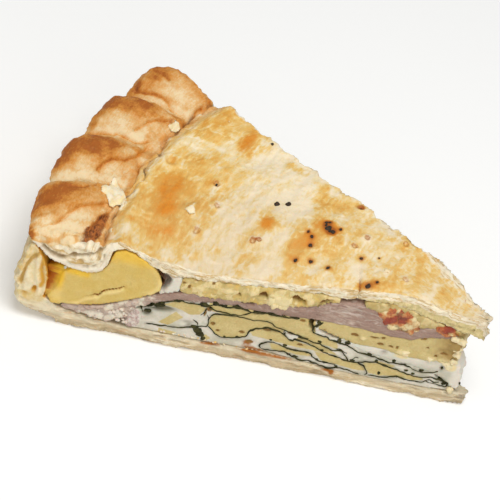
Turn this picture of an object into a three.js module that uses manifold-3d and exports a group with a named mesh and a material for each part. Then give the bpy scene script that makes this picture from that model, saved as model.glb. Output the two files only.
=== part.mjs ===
// A cut wedge of a round bacon and egg pie, in millimetres, +Z up.
// Every layer is drawn once as a section in the plane of the near cut, as [radius, height]
// pairs measured from the pie's centre line and from the plate. It is then swept round the
// centre line to the far cut, so each layer runs right through the slice.
import * as THREE from "three";
import { mergeVertices } from "three/addons/utils/BufferGeometryUtils.js";
import Module from "manifold-3d";

const wasm = await Module();
wasm.setup();

// Driving dimensions
const SLICE_DEG = 40;
const TIP_RADIUS = 3;
const LID_HEIGHT = 35;
const RIM_OUTER_RADIUS = 140;
const RIM_WIDTH = 22;
const LEAF_THICKNESS = 0.5;
const CLEARANCE = 0.3;

// The pastry rim is a rope of slanting folds. Each climbs slowly to its crest and drops steeply behind it
const FOLD_CRESTS_DEG = [-25, -13.4, -2.9, 7.6, 15.8, 26];
const FOLD_CREST_HEIGHTS = [1, 1, 1, 1.1, 1.45, 1];
const FOLD_SLANT_DEG = 4;
const FOLD_RISE = 5;
const FOLD_MIDDLE = 0.6;
const FOLD_FLOOR = 0.1;
const FOLD_DROP_SHARE = 0.3;
const FOLD_BULGE = 1.8;

// The lid droops to the near cut and stands higher behind it
const DOME_RISE = 7;
const DOME_RADIUS = 88;
const DOME_REACH_TO_RIM = 34;
const DOME_REACH_TO_TIP = 76;
const DOME_FULL_DEG = 4;
const LID_PUFF = 0.5;

// Steps of the sweep from cut to cut
const FILLING_STEPS = 6;
const BASE_STEPS = 12;
const LID_STEPS = 30;
const LUMP_RINGS = 5;

const NEAR_CUT_DEG = -SLICE_DEG / 2;
const { clamp, degToRad, inverseLerp, lerp, radToDeg, smoothstep } = THREE.MathUtils;

// Angles from the near cut to the far cut, and so many steps beyond each
function anglesAcross(steps, beyond = 0) {
  const angles = [];
  for (let i = -beyond; i <= steps + beyond; i++) {
    angles.push(NEAR_CUT_DEG + (SLICE_DEG * i) / steps);
  }
  return angles;
}

// A smooth line of so many points through a few places
function smoothLine(count, places) {
  const curve = new THREE.SplineCurve(places.map(([r, z]) => new THREE.Vector2(r, z)));
  return curve.getSpacedPoints(count - 1);
}

// A smooth outline of so many points, closed through its first place
function smoothLoop(count, places) {
  return smoothLine(count + 1, [...places, places[0]]).slice(0, -1);
}

// How far the top of the pie is lifted at this place
function domeLift(radius, angleDeg) {
  const across = clamp(inverseLerp(NEAR_CUT_DEG, DOME_FULL_DEG, angleDeg), 0, 1);
  const reach = radius > DOME_RADIUS ? DOME_REACH_TO_RIM : DOME_REACH_TO_TIP;
  const away = Math.min(1, Math.abs(radius - DOME_RADIUS) / reach);
  return DOME_RISE * Math.sin((Math.PI / 2) * across) * (0.5 + 0.5 * Math.cos(Math.PI * away));
}

// A section's point, set at its angle round the centre line and lifted with the dome
function placed(point, angleDeg) {
  const angle = degToRad(angleDeg);
  const z = point.y + (point.y / LID_HEIGHT) * domeLift(point.x, angleDeg);
  return [-point.x * Math.cos(angle), point.x * Math.sin(angle), z];
}

// The outline turned so that it runs anticlockwise, radius to the right and height up
function anticlockwise(outline) {
  return THREE.ShapeUtils.isClockWise(outline) ? [...outline].reverse() : outline;
}

// A closed geometry through sections that all have the same number of points
function skin(sections, corners) {
  const count = corners.length;
  const last = (sections.length - 1) * count;
  const index = [];
  for (let s = 0; s < last; s += count) {
    for (let j = 0; j < count; j++) {
      const k = (j + 1) % count;
      index.push(s + j, s + k, s + count + j, s + k, s + count + k, s + count + j);
    }
  }
  for (const [a, b, c] of THREE.ShapeUtils.triangulateShape(corners, [])) {
    index.push(a, c, b, last + a, last + b, last + c);
  }
  const geometry = new THREE.BufferGeometry();
  geometry.setAttribute("position", new THREE.Float32BufferAttribute(sections.flat(2), 3));
  geometry.setIndex(index);
  return geometry;
}

// A section swept through the slice. changed(point, angle) may move its points on the way
function sweep(outline, angles, changed = (point) => point) {
  const corners = anticlockwise(outline);
  const sections = angles.map((a) => corners.map((p) => placed(changed(p, a), a)));
  return skin(sections, corners);
}

// A rounded lump that shows its outline at the near cut and ends at a depth behind it
const LUMP_END_TURN = 0.46 * Math.PI;
function lump(outline, depth, startDeg = NEAR_CUT_DEG) {
  const corners = anticlockwise(outline);
  const centre = new THREE.Vector2();
  corners.forEach((p) => centre.addScaledVector(p, 1 / corners.length));
  const sections = [];
  for (let ring = 0; ring <= LUMP_RINGS; ring++) {
    const turn = (LUMP_END_TURN * ring) / LUMP_RINGS;
    const angle = startDeg + radToDeg((depth * Math.sin(turn)) / centre.x);
    sections.push(corners.map((p) => placed(centre.clone().lerp(p, Math.cos(turn)), angle)));
  }
  return skin(sections, corners);
}

// Room for a lump in its neighbours, open at the near cut
const ROOM_START_DEG = NEAR_CUT_DEG - 0.01;
function roomFor(outline, depth, clearance) {
  return lump(grown(outline, clearance), depth + clearance, ROOM_START_DEG);
}

// The direction of a line of points at one of them
function directionAt(points, i, closed) {
  const wrap = (k) => (closed ? (k + points.length) % points.length : clamp(k, 0, points.length - 1));
  return points[wrap(i + 1)].clone().sub(points[wrap(i - 1)]).normalize();
}

// The outline moved outwards by a distance
function grown(outline, distance) {
  const corners = anticlockwise(outline);
  return corners.map((p, i) => {
    const along = directionAt(corners, i, true);
    return new THREE.Vector2(p.x + along.y * distance, p.y - along.x * distance);
  });
}

// The closed outline of a strip of a thickness along a line
function strip(line, thickness) {
  const sideOf = (distance) =>
    line.map((p, i) => {
      const along = directionAt(line, i, false);
      return new THREE.Vector2(p.x - along.y * distance, p.y + along.x * distance);
    });
  return [...sideOf(thickness / 2), ...sideOf(-thickness / 2).reverse()];
}

// Joining and cutting
function solidOf(geometry) {
  const merged = mergeVertices(geometry, 1e-4);
  const vertProperties = merged.getAttribute("position").array;
  const triVerts = new Uint32Array(merged.getIndex().array);
  return new wasm.Manifold(new wasm.Mesh({ numProp: 3, vertProperties, triVerts }));
}

// The largest body of a solid, without the scraps that a cut can leave
function geometryOf(solid) {
  const [largest] = solid.decompose().sort((a, b) => b.volume() - a.volume());
  const mesh = largest.getMesh();
  const geometry = new THREE.BufferGeometry();
  geometry.setAttribute("position", new THREE.Float32BufferAttribute(mesh.vertProperties, 3));
  geometry.setIndex([...mesh.triVerts]);
  return geometry;
}

function without(geometry, cutters) {
  return geometryOf(cutters.reduce((left, cutter) => left.subtract(solidOf(cutter)), solidOf(geometry)));
}

function joined(geometries) {
  return geometryOf(geometries.map(solidOf).reduce((all, next) => all.add(next)));
}

// Pastry base: a floor with a rounded foot and a puffed side wall
const BASE_SECTION = [
  ...smoothLine(4, [[TIP_RADIUS, 0], [60, 0], [110, 0]]),
  ...smoothLine(11, [
    [118, 0.5], [127, 1.7], [134, 3.3], [140, 6.5],
    [140.9, 12], [140.8, 18], [139.8, 24.5], [138.2, 28.6],
  ]),
  ...smoothLine(7, [[137.2, 29.2], [135.4, 26.6], [133.3, 22.5], [132, 18], [131.8, 13], [132.2, 9.8]]),
  ...smoothLine(13, [
    [128, 6.6], [121, 4.6], [110, 4], [96, 4.6], [84, 4.2],
    [70, 5.2], [58, 5], [42, 3.6], [20, 3.9], [TIP_RADIUS, 5],
  ]),
];

// Pastry lid: a thin flaky sheet that dips at the rim and turns up again into the rope
const LID_TOP = smoothLine(21, [
  [4.6, 34.2], [14, 35.2], [27, 37.7], [36, 37.4], [45, 35.9], [62, 33.4],
  [81, 31.2], [92, 30.9], [101, 32.4], [108, 34.2], [113.6, 36.2], [116.6, 35.4], [118, 33.2],
]);
const RIM_TOP = smoothLine(10, [
  [120, 33.8], [125, 35.6], [131, 36.6], [136.5, 36.2], [139.6, 34.2], [140, 32.6], [138.6, 31],
]);
const RIM_UNDERSIDE = smoothLine(16, [
  [136, 28.2], [133.6, 25.8], [128, 23.4], [121, 22.6], [116.6, 24.4], [115.4, 28], [115.2, 31.6],
  [113.2, 33.6], [109, 33.2], [103, 29.4], [97, 26.9],
]);
const LID_UNDERSIDE = smoothLine(13, [
  [90, 28], [80, 28.8], [65, 30.8], [52, 31.9], [45, 32.1],
  [38, 33.5], [30, 33.8], [22, 31.6], [13.5, 29.2], [4, 27],
]);

// How fully the rope's folds move each point of the rim: all the way on top, not at all at its edges
const ROPE_SHARES = new Map(
  RIM_TOP.map((point, i) => [point, Math.sin((Math.PI * (i + 0.5)) / RIM_TOP.length) ** 0.6]),
);
const PUFFED_POINTS = new Set(LID_TOP.slice(1, -2));

// The rope's height at a place, as a share of the folds' rise
function foldHeight(radius, angleDeg) {
  const inwards = (RIM_OUTER_RADIUS - radius) / RIM_WIDTH;
  const turned = angleDeg - FOLD_SLANT_DEG * inwards;
  const next = FOLD_CRESTS_DEG.findIndex((crest) => crest > turned);
  const share = inverseLerp(FOLD_CRESTS_DEG[next - 1], FOLD_CRESTS_DEG[next], turned);
  if (share < FOLD_DROP_SHARE) {
    return lerp(FOLD_CREST_HEIGHTS[next - 1], FOLD_FLOOR, smoothstep(share, 0, FOLD_DROP_SHARE));
  }
  const climb = inverseLerp(FOLD_DROP_SHARE, 1, share);
  return lerp(FOLD_FLOOR, FOLD_CREST_HEIGHTS[next], Math.sin((Math.PI / 2) * climb));
}

// The lid's points as baked: the rope's folds on the rim and gentle puffs on the sheet
function bakedTop(point, angleDeg) {
  if (ROPE_SHARES.has(point)) {
    const fold = ROPE_SHARES.get(point) * (foldHeight(point.x, angleDeg) - FOLD_MIDDLE);
    const outwards = smoothstep(point.x, RIM_OUTER_RADIUS - RIM_WIDTH / 2, RIM_OUTER_RADIUS);
    return new THREE.Vector2(point.x + FOLD_BULGE * outwards * fold, point.y + FOLD_RISE * fold);
  }
  if (PUFFED_POINTS.has(point)) {
    const arc = degToRad(angleDeg) * point.x;
    const puff = Math.sin(point.x / 5.1 + arc / 9) * Math.cos(arc / 6.3 - point.x / 14);
    return new THREE.Vector2(point.x, point.y + LID_PUFF * puff);
  }
  return point;
}

// Shards of pastry that came loose and lie baked on to the top
const SHARDS = [
  { radius: 120.5, angleDeg: -9.6, size: 6.4, turn: 0.5 },
  { radius: 97.5, angleDeg: -7.4, size: 3.4, turn: 1.3 },
  { radius: 118.5, angleDeg: 9.8, size: 3.6, turn: 2.2 },
];
const SHARD_SIDES = 7;
const SHARD_THICKNESS = 1.6;
const SHARD_SUNK = 0.7;
function shard({ radius, angleDeg, size, turn }, lid) {
  const corners = [];
  for (let i = 0; i < SHARD_SIDES; i++) {
    const angle = (2 * Math.PI * i) / SHARD_SIDES;
    const reach = size * (0.75 + 0.25 * Math.sin(3 * angle + turn));
    corners.push(new THREE.Vector2(reach * Math.cos(angle), 0.7 * reach * Math.sin(angle)));
  }
  const plate = new THREE.ExtrudeGeometry(new THREE.Shape(corners), {
    depth: SHARD_THICKNESS,
    bevelEnabled: false,
  });
  plate.deleteAttribute("normal");
  plate.deleteAttribute("uv");
  const [x, y] = placed(new THREE.Vector2(radius, 0), angleDeg);
  const above = new THREE.Vector3(x, y, 2 * LID_HEIGHT);
  const down = new THREE.Vector3(0, 0, -1);
  const [hit] = new THREE.Raycaster(above, down).intersectObject(new THREE.Mesh(lid));
  plate.rotateZ(turn);
  plate.translate(0, 0, -SHARD_SUNK);
  plate.applyQuaternion(new THREE.Quaternion().setFromUnitVectors(down.negate(), hit.face.normal));
  plate.translate(hit.point.x, hit.point.y, hit.point.z);
  return mergeVertices(plate, 1e-4);
}

function lidGeometry() {
  const section = [...LID_TOP, ...RIM_TOP, ...RIM_UNDERSIDE, ...LID_UNDERSIDE];
  const lid = sweep(section, anglesAcross(LID_STEPS), bakedTop);
  return joined([lid, ...SHARDS.map((place) => shard(place, lid))]);
}

// Whole egg: a yolk that the near cut opens, with a small hollow beside it, in a pocket of white
const YOLK_DEPTH = 13;
const YOLK_OUTLINE = smoothLoop(28, [
  [127, 9], [118, 10.4], [108.8, 14.8], [100.6, 19.8], [99.4, 23.4], [102.6, 28.4], [108, 31.6], [112.6, 32.6],
  [114.4, 30.4], [114.7, 27], [116.4, 23.6], [121, 21.9], [126.6, 22], [128.9, 18], [128.7, 12.6],
]);
const YOLK_ROOM = 1;
const HOLLOW_DEPTH = 5;
const HOLLOW_OUTLINE = smoothLoop(8, [[101.5, 27.4], [97.9, 25.2], [98.6, 22], [101.2, 21.4]]);
const WHITE_SECTION = [
  ...smoothLine(16, [
    [94, 26.9], [97, 26.2], [103, 28.7], [109, 32.4], [112.6, 32.9],
    [114.7, 30.6], [114.8, 27.4], [116.2, 23.9], [121, 22], [127.5, 22.6],
  ]),
  ...smoothLine(3, [[128.4, 18], [128.2, 12], [127, 8.7]]),
  ...smoothLine(7, [[120, 9.4], [113.5, 11.4], [108.3, 14.5], [102, 18.1], [97, 21.2], [94, 22.2]]),
];

// Bacon: one long rasher, thick towards the centre, with two crisp ends that show at the near cut
const BACON_SECTION = [
  ...smoothLine(20, [
    [126, 7.9], [120, 8.6], [113.5, 10.6], [108.5, 13.6], [102, 17.2], [97, 20.2], [92, 21.5], [81, 22.1],
    [70, 23.6], [60, 24.8], [53.5, 27], [48, 29.8], [43, 31], [38, 30.6], [33, 27.6], [26, 26.4], [18, 27.6],
    [12, 27],
  ]),
  ...smoothLine(19, [
    [12, 25.6], [21, 24], [26, 21.4], [32, 21.8], [43, 22.4], [55, 22.1], [66, 20.7], [76, 20.9], [88, 19.8],
    [95, 18.3], [100.5, 15.9], [105.6, 12.5], [107.6, 8.6], [109.5, 5.2], [114, 4.9], [119, 6.2], [126, 7.1],
  ]),
];
const CRISP_ENDS = [
  {
    depth: 6,
    outline: smoothLoop(12, [
      [36, 30], [32, 31.9], [27, 31.2], [23.2, 28.4], [23.6, 25.2], [27, 24.2], [31, 25], [34, 27],
    ]),
  },
  { depth: 4, outline: smoothLoop(8, [[17.8, 28.4], [15, 28.8], [12.6, 27.8], [13.4, 26.3], [16.6, 26.5]]) },
];

// Egg: crumbly above the bacon, smooth and leafy below it, with a band of white towards the tip
const TOP_EGG_SECTION = [
  ...smoothLine(8, [[93.3, 27], [90, 27.6], [80, 28.4], [65, 30.4], [52, 31.5], [47.8, 31.6]]),
  ...smoothLine(8, [[48.4, 30.3], [53.8, 27.5], [60, 25.3], [70, 24.1], [81, 22.6], [93.3, 22.1]]),
];
const CRUMB_EGG_SECTION = [
  ...smoothLine(8, [[40.5, 32.1], [38, 32.8], [30, 33], [22, 30.8], [13.5, 28.5], [9.5, 27.6]]),
  ...smoothLine(8, [[12, 27.4], [18, 28], [26, 26.8], [33, 28.1], [38, 31], [40.5, 31.3]]),
];
const UPPER_EGG_SECTION = [
  ...smoothLine(9, [[51.6, 21.7], [43, 22], [32, 21.3], [26, 20.9], [20.5, 23.3], [12, 25.1], [9.5, 24]]),
  ...smoothLine(9, [
    [9.5, 17.6], [16, 15.6], [22.5, 15], [29, 15.9], [35, 16.1], [40, 16.1], [45, 17.3], [51.4, 18.9],
  ]),
];
const WHITE_BAND_SECTION = [
  ...smoothLine(10, [
    [44, 16.5], [40, 15.6], [35, 15.6], [29, 15.4], [22.5, 14.5], [16, 15.1], [9, 17], [6.5, 14.5],
  ]),
  ...smoothLine(12, [
    [5.4, 10], [5, 6.2], [8, 6.4], [10.6, 8.6], [13.5, 10.7],
    [17.8, 11.1], [22.4, 12], [30.7, 12.9], [37.5, 13.9], [43.5, 16],
  ]),
];
const LEAFY_EGG_SECTION = [
  ...smoothLine(10, [
    [8.5, 5.2], [20, 4.4], [42, 4.1], [58, 5.6], [70, 5.8], [84, 4.8], [96, 5.2], [106.4, 4.8],
  ]),
  ...smoothLine(15, [
    [107, 8], [104.8, 11.8], [99.4, 14], [95, 16.4], [91, 17.5], [86, 18.2], [80, 18.8],
    [75, 19.1], [70.6, 19], [68, 20.1], [60, 20.8], [55.4, 21.4],
  ]),
  ...smoothLine(11, [
    [54.6, 18.2], [52.4, 16.3], [46.5, 14.5], [41.3, 13.8], [37.5, 12.3],
    [30.7, 11.4], [22.4, 10.5], [17.8, 9.6], [13.4, 9.3], [10.6, 7.4],
  ]),
];

// Green leaves folded through the egg, each by the line that it draws on the near cut.
// The first lies under the bacon and the seventh under the white band, and the others are inside the egg
const LEAF_LINES = [
  smoothLine(7, [[99.3, 15.2], [95, 17.4], [91, 18.4], [86, 19.1], [80, 19.7], [75, 20], [71.6, 19.9]]),
  smoothLine(8, [
    [82.4, 16.4], [76.4, 17.2], [70.8, 17.3], [65.4, 17.1], [59.5, 15.4], [52, 13.6], [46.4, 12], [40.8, 10.6],
  ]),
  smoothLine(7, [[99.8, 7.8], [94.1, 7.6], [90, 8.2], [86.3, 9.8], [84.6, 12], [84.4, 14.4]]),
  smoothLine(11, [
    [81.4, 9.8], [79.6, 8.4], [76.4, 7.7], [72.6, 9.2], [70.6, 12.4], [67.5, 14.2],
    [64, 14.5], [59, 12.3], [52.8, 11.4], [47.7, 9.7], [43.6, 9.1],
  ]),
  smoothLine(8, [[65.4, 8.9], [63.3, 10.1], [60.1, 9.8], [56.8, 9.5], [52.7, 9.2], [50.4, 7.9], [47.6, 7.2]]),
  smoothLine(7, [[65.3, 7.1], [60, 7.5], [56, 7.1], [52, 6.4], [47, 5.7], [42, 5.4], [36, 5.4]]),
  smoothLine(10, [
    [52.6, 20.6], [53.3, 18.4], [51.8, 17.1], [46.5, 15.4], [41.3, 14.8],
    [37.5, 13.1], [30.7, 12.2], [22.4, 11.3], [17.8, 10.4], [14.4, 10.1],
  ]),
  smoothLine(13, [
    [38.4, 8.9], [35.6, 8.9], [31.9, 10], [27.8, 9.3], [21.3, 8.7], [16.5, 7.9],
    [13.8, 7.3], [13.4, 6.5], [15.4, 6.1], [19, 6], [24.8, 5.8], [29, 5.5],
  ]),
];
const LEAVES_INSIDE_EGG = [2, 3, 4, 5, 6, 8];

// A leaf's slot in the egg, open at both cuts and a little longer than the leaf
function leafSlot(line) {
  const past = (end, next) => end.clone().add(end.clone().sub(next).setLength(CLEARANCE));
  const longer = [past(line[0], line[1]), ...line.slice(1, -1), past(line.at(-1), line.at(-2))];
  return sweep(strip(longer, LEAF_THICKNESS + 2 * CLEARANCE), anglesAcross(FILLING_STEPS, 1));
}

// Finishes
const FINISHES = {
  crust: { color: 0xd9a04e, roughness: 0.75 },
  base: { color: 0xd9c59c, roughness: 0.8 },
  yolk: { color: 0xdcb84e, roughness: 0.6 },
  white: { color: 0xe0dccf, roughness: 0.45 },
  bacon: { color: 0xa98484, roughness: 0.5 },
  crisp: { color: 0xb0532a, roughness: 0.55 },
  egg: { color: 0xd8c37c, roughness: 0.6 },
  leaf: { color: 0x2c3016, roughness: 0.6 },
};

const slice = new THREE.Group();
function addPiece(name, geometry, finish) {
  const facets = geometry.toNonIndexed();
  facets.computeVertexNormals();
  const mesh = new THREE.Mesh(facets, new THREE.MeshStandardMaterial({ metalness: 0, ...FINISHES[finish] }));
  mesh.name = name;
  slice.add(mesh);
}

const through = anglesAcross(FILLING_STEPS);
const yolkRoom = roomFor(YOLK_OUTLINE, YOLK_DEPTH, YOLK_ROOM);
const hollow = lump(HOLLOW_OUTLINE, HOLLOW_DEPTH, ROOM_START_DEG);
const crispRooms = CRISP_ENDS.map(({ outline, depth }) => roomFor(outline, depth, CLEARANCE));
const leafSlots = LEAVES_INSIDE_EGG.map((number) => leafSlot(LEAF_LINES[number - 1]));

addPiece("base_crust", sweep(BASE_SECTION, anglesAcross(BASE_STEPS)), "base");
addPiece("lid_crust", lidGeometry(), "crust");
addPiece("yolk", lump(YOLK_OUTLINE, YOLK_DEPTH), "yolk");
addPiece("egg_white", without(sweep(WHITE_SECTION, through), [yolkRoom, hollow]), "white");
addPiece("bacon", without(sweep(BACON_SECTION, through), crispRooms), "bacon");
addPiece("top_egg", sweep(TOP_EGG_SECTION, through), "egg");
addPiece("crumb_egg", without(sweep(CRUMB_EGG_SECTION, through), crispRooms), "egg");
addPiece("upper_egg", sweep(UPPER_EGG_SECTION, through), "egg");
addPiece("white_band", sweep(WHITE_BAND_SECTION, through), "white");
addPiece("leafy_egg", without(sweep(LEAFY_EGG_SECTION, through), leafSlots), "egg");
CRISP_ENDS.forEach(({ outline, depth }, i) => {
  addPiece(`bacon_crisp_${i + 1}`, lump(outline, depth), "crisp");
});
LEAF_LINES.forEach((line, i) => {
  addPiece(`leaf_${i + 1}`, sweep(strip(line, LEAF_THICKNESS), through), "leaf");
});

// The slice stands on its floor, with the origin under the middle of its box
const box = new THREE.Box3().setFromObject(slice);
const middle = box.getCenter(new THREE.Vector3());
slice.position.set(-middle.x, -middle.y, -box.min.z);

export default slice;
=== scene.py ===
"""One slice of bacon and egg pie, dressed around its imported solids.

The pie's centre lies under the tip of the slice. Places are given as the distance out from that centre in
millimetres, the turn round it in degrees, from -20 at the near cut to 20 at the far cut, and the height.
"""

import math

import bmesh
import bpy
import numpy as np
from bpy.props import FloatProperty, FloatVectorProperty, IntProperty, PointerProperty
from mathutils import Matrix, Quaternion, Vector


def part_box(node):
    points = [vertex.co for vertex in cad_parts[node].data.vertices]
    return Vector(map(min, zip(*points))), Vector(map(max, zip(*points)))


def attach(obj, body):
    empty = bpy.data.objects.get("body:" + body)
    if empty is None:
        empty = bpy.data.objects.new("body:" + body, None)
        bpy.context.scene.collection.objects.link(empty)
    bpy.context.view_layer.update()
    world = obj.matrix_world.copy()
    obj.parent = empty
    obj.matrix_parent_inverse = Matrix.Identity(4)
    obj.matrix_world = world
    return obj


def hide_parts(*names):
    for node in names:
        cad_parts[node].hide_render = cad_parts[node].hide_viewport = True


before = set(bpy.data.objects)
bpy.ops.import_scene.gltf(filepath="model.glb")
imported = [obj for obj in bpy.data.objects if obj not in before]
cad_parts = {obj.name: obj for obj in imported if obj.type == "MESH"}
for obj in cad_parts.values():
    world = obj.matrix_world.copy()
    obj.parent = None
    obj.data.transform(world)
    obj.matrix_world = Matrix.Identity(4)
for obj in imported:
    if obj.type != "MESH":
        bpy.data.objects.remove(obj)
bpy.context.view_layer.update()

bl_info = {
    "name": "Bacon and egg pie slice",
    "version": (1, 0, 0),
    "blender": (4, 5, 0),
    "location": "View3D > Sidebar > Pie",
    "description": "Bakes the looks of one slice of bacon and egg pie on to its packed solids",
    "category": "Object",
}

MM = 0.001
HALF_SLICE = 20.0
TIP_RADIUS = 3.0
APEX_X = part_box("base_crust")[1].x / MM + TIP_RADIUS * math.cos(math.radians(HALF_SLICE))
LID_HEIGHT = 35.0
DOME_RISE, DOME_RADIUS, DOME_FULL = 7.0, 88.0, 24.0
DOME_TO_RIM, DOME_TO_TIP = 34.0, 76.0
RIM_RADIUS, RIM_WIDTH = 140.0, 22.0
FOLD_CRESTS = (-25, -13.4, -2.9, 7.6, 15.8, 26)
FOLD_SLANT = 4.0
FOLD_DROP = 0.3
LEAF_ROOM_FILL = 0.36
RAY_HEIGHT = 0.08
UP = np.array([0.0, 0.0, 1.0])
DOWN = Vector((0, 0, -1))
# Millimetres that a degree round the pie counts for in the noise
ARC = 1.4


def hex_colour(code):
    """A colour as the eye names it, turned to the light values that a shader takes."""
    parts = [int(code[i:i + 2], 16) / 255 for i in (1, 3, 5)]
    return tuple(p / 12.92 if p <= 0.04045 else ((p + 0.055) / 1.055) ** 2.4 for p in parts)


def length_prop(name, description, default):
    return FloatProperty(name=name, description=description, default=default * MM, unit="LENGTH", precision=5)


def colour_prop(name, description, code):
    return FloatVectorProperty(name=name, description=description, default=hex_colour(code), subtype="COLOR",
                               min=0, max=1)


class PieSizes(bpy.types.PropertyGroup):
    """Sizes of the slice's fine relief."""

    pastry_grain: length_prop("Pastry grain", "Spacing of the points on the lid and the base", 0.475)
    filling_grain: length_prop("Filling grain", "Spacing of the points on the fillings", 0.48)
    yolk_grain: length_prop("Yolk grain", "Spacing of the points on the yolk", 0.42)
    crisp_grain: length_prop("Crisp grain", "Spacing of the points on the crisp bacon", 0.3)
    filling_swell: length_prop("Filling swell", "How far each filling spreads to meet its neighbours", 0.4)
    flake_depth: length_prop("Flake depth", "Depth of the flaky layers at the cuts", 0.5)
    blister_height: length_prop("Blister height", "Height of the blisters on the lid", 0.35)
    crack_depth: length_prop("Crack depth", "Depth of the crack between lid and rim", 1.8)
    leaf_thickness: length_prop("Leaf thickness", "Thickness of the folded leaves", 0.33)
    crumb_size: length_prop("Crumb size", "Half the width of a usual loose crumb", 0.5)
    crumb_count: IntProperty(name="Crumbs", description="How many loose crumbs cling to the cuts", default=44,
                             min=0, max=2000)


class PieColours(bpy.types.PropertyGroup):
    """Colours of the slice's pastry and fillings."""

    ivory: colour_prop("Ivory", "Palest glazed pastry", "#F8E7C6")
    cream: colour_prop("Cream", "Cream glazed pastry", "#F2DAA6")
    golden: colour_prop("Golden", "Golden glazed pastry", "#EDC472")
    honey: colour_prop("Honey", "Deep golden glaze", "#E2A648")
    amber: colour_prop("Amber", "Darkest golden patches on the lid", "#DC8A26")
    biscuit: colour_prop("Biscuit", "Palest skin of the rope rim", "#EBD4A8")
    tan: colour_prop("Tan", "Skin of the rope rim", "#DFB070")
    toasted: colour_prop("Toasted", "Toasted skin of the rope rim", "#D08A38")
    brown: colour_prop("Brown", "Browned crests of the rope", "#A85C1A")
    burnt: colour_prop("Burnt", "Burnt creases", "#6A3611")
    flake: colour_prop("Flake", "Loose pale flakes", "#F7EAD0")
    layer: colour_prop("Layer", "Pale flaky layers inside the pastry", "#F2E5C8")
    layer_shade: colour_prop("Layer shade", "Darker lines between the flaky layers", "#CCAA6E")
    base: colour_prop("Base", "Pastry of the base", "#DED1B3")
    base_moist: colour_prop("Moist base", "Damp pastry of the base", "#CBB48C")
    yolk: colour_prop("Yolk", "Cut face of the yolk", "#D8B862")
    # Bright yolk is partly painted light: brighter where the edge strip and the top under the rim lie in
    # shade
    yolk_bright: colour_prop("Bright yolk", "Moist edge of the yolk", "#F2C02E")
    white: colour_prop("Egg white", "Set egg white", "#DCD4C4")
    white_cool: colour_prop("Cool egg white", "Greyish egg white beside the leaves", "#BFB9A4")
    egg: colour_prop("Egg", "Set beaten egg", "#C4AD6E")
    egg_pale: colour_prop("Pale egg", "Crumbly beaten egg", "#E6D19A")
    bacon: colour_prop("Bacon", "Cooked bacon", "#AB8E84")
    bacon_pale: colour_prop("Pale bacon", "Pale meat and fat", "#C8B2A0")
    crisp: colour_prop("Crisp bacon", "Crisp red edge of the bacon", "#95391F")
    crisp_orange: colour_prop("Orange bacon", "Lighter crisp bacon", "#C27036")
    leaf: colour_prop("Leaf", "Dark cooked leaf", "#26250F")
    leaf_light: colour_prop("Light leaf", "Thin leaf with light in it", "#4C4826")
    # Painted shade: the dark brown that fills holes, pits and the gaps between crumbs
    hole: colour_prop("Hole", "Deep brown holes", "#5A3819")
    stain: colour_prop("Stain", "Orange stains", "#AC661C")
    speck: colour_prop("Speck", "Charred specks on the lid", "#2C2B22")


class StageSettings(bpy.types.PropertyGroup):
    """Floor and light."""

    floor: colour_prop("Floor", "Colour of the floor", "#F4F4F2")
    key_power: FloatProperty(name="Main light", description="Power of the main light", default=5.7,
                             unit="POWER")
    side_power: FloatProperty(name="Side light", description="Power of the side light", default=1.2,
                              unit="POWER")
    sky: FloatProperty(name="Room light", description="Strength of the even light all round", default=0.38)


def asked(context):
    """The sizes and colours that the panel holds."""
    return context.scene.pie_sizes, context.scene.pie_colours


def smooth(low, high, value):
    """0 at low and 1 at high, with a soft start and end."""
    share = np.clip((value - low) / (high - low), 0, 1)
    return share * share * (3.0 - 2.0 * share)


def hump(value, width):
    """1 at 0, and soon nothing beyond the width on either side."""
    return np.exp(-((value / width) ** 2))


def columns(*parts):
    """Values side by side, one point a row. A part may be a plain number."""
    return np.stack(np.broadcast_arrays(*parts), -1)


def scattered(cells, seed):
    """A repeatable number from 0 to 1 for each whole-numbered cell."""
    mixed = cells[..., 0] * 374761393 + cells[..., 1] * 668265263 + cells[..., 2] * 1440662683
    mixed = mixed + seed * 974634777
    mixed = (mixed ^ (mixed >> 13)) & 0x7FFFFFFF
    mixed = (mixed * 1274126177) & 0x7FFFFFFF
    mixed = mixed ^ (mixed >> 16)
    return (mixed & 0xFFFFFF) / float(0xFFFFFF)


def ripple(places, seed):
    """Smooth noise from -1 to 1, with about one swell a unit."""
    whole = np.floor(places).astype(np.int64)
    part = places - whole
    ease = part ** 3 * (part * (part * 6 - 15) + 10)
    total = 0.0
    for corner in np.ndindex(2, 2, 2):
        share = np.prod(np.where(np.array(corner, bool), ease, 1 - ease), axis=-1)
        total = total + share * scattered(whole + np.array(corner), seed)
    return total * 2 - 1


def cloud(places, seed, octaves=3):
    """Ripples at several sizes laid over each other."""
    total, weight, weights = 0.0, 1.0, 0.0
    for step in range(octaves):
        total = total + weight * ripple(places * 2.0 ** step + 17.3 * step, seed + step)
        weights += weight
        weight *= 0.5
    return total / weights


def crumble(places, seed):
    """How far each place is from the nearest crumb's middle, and that crumb's own number from 0 to 1."""
    whole = np.floor(places).astype(np.int64)
    nearest = np.full(len(places), 9.0)
    own = np.zeros(len(places))
    for step in np.ndindex(3, 3, 3):
        cell = whole + np.array(step) - 1
        middle = cell + columns(*(scattered(cell, seed + k) for k in range(3)))
        gap = np.linalg.norm(places - middle, axis=-1)
        closer = gap < nearest
        nearest = np.where(closer, gap, nearest)
        own = np.where(closer, scattered(cell, seed + 3), own)
    return nearest, own


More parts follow.
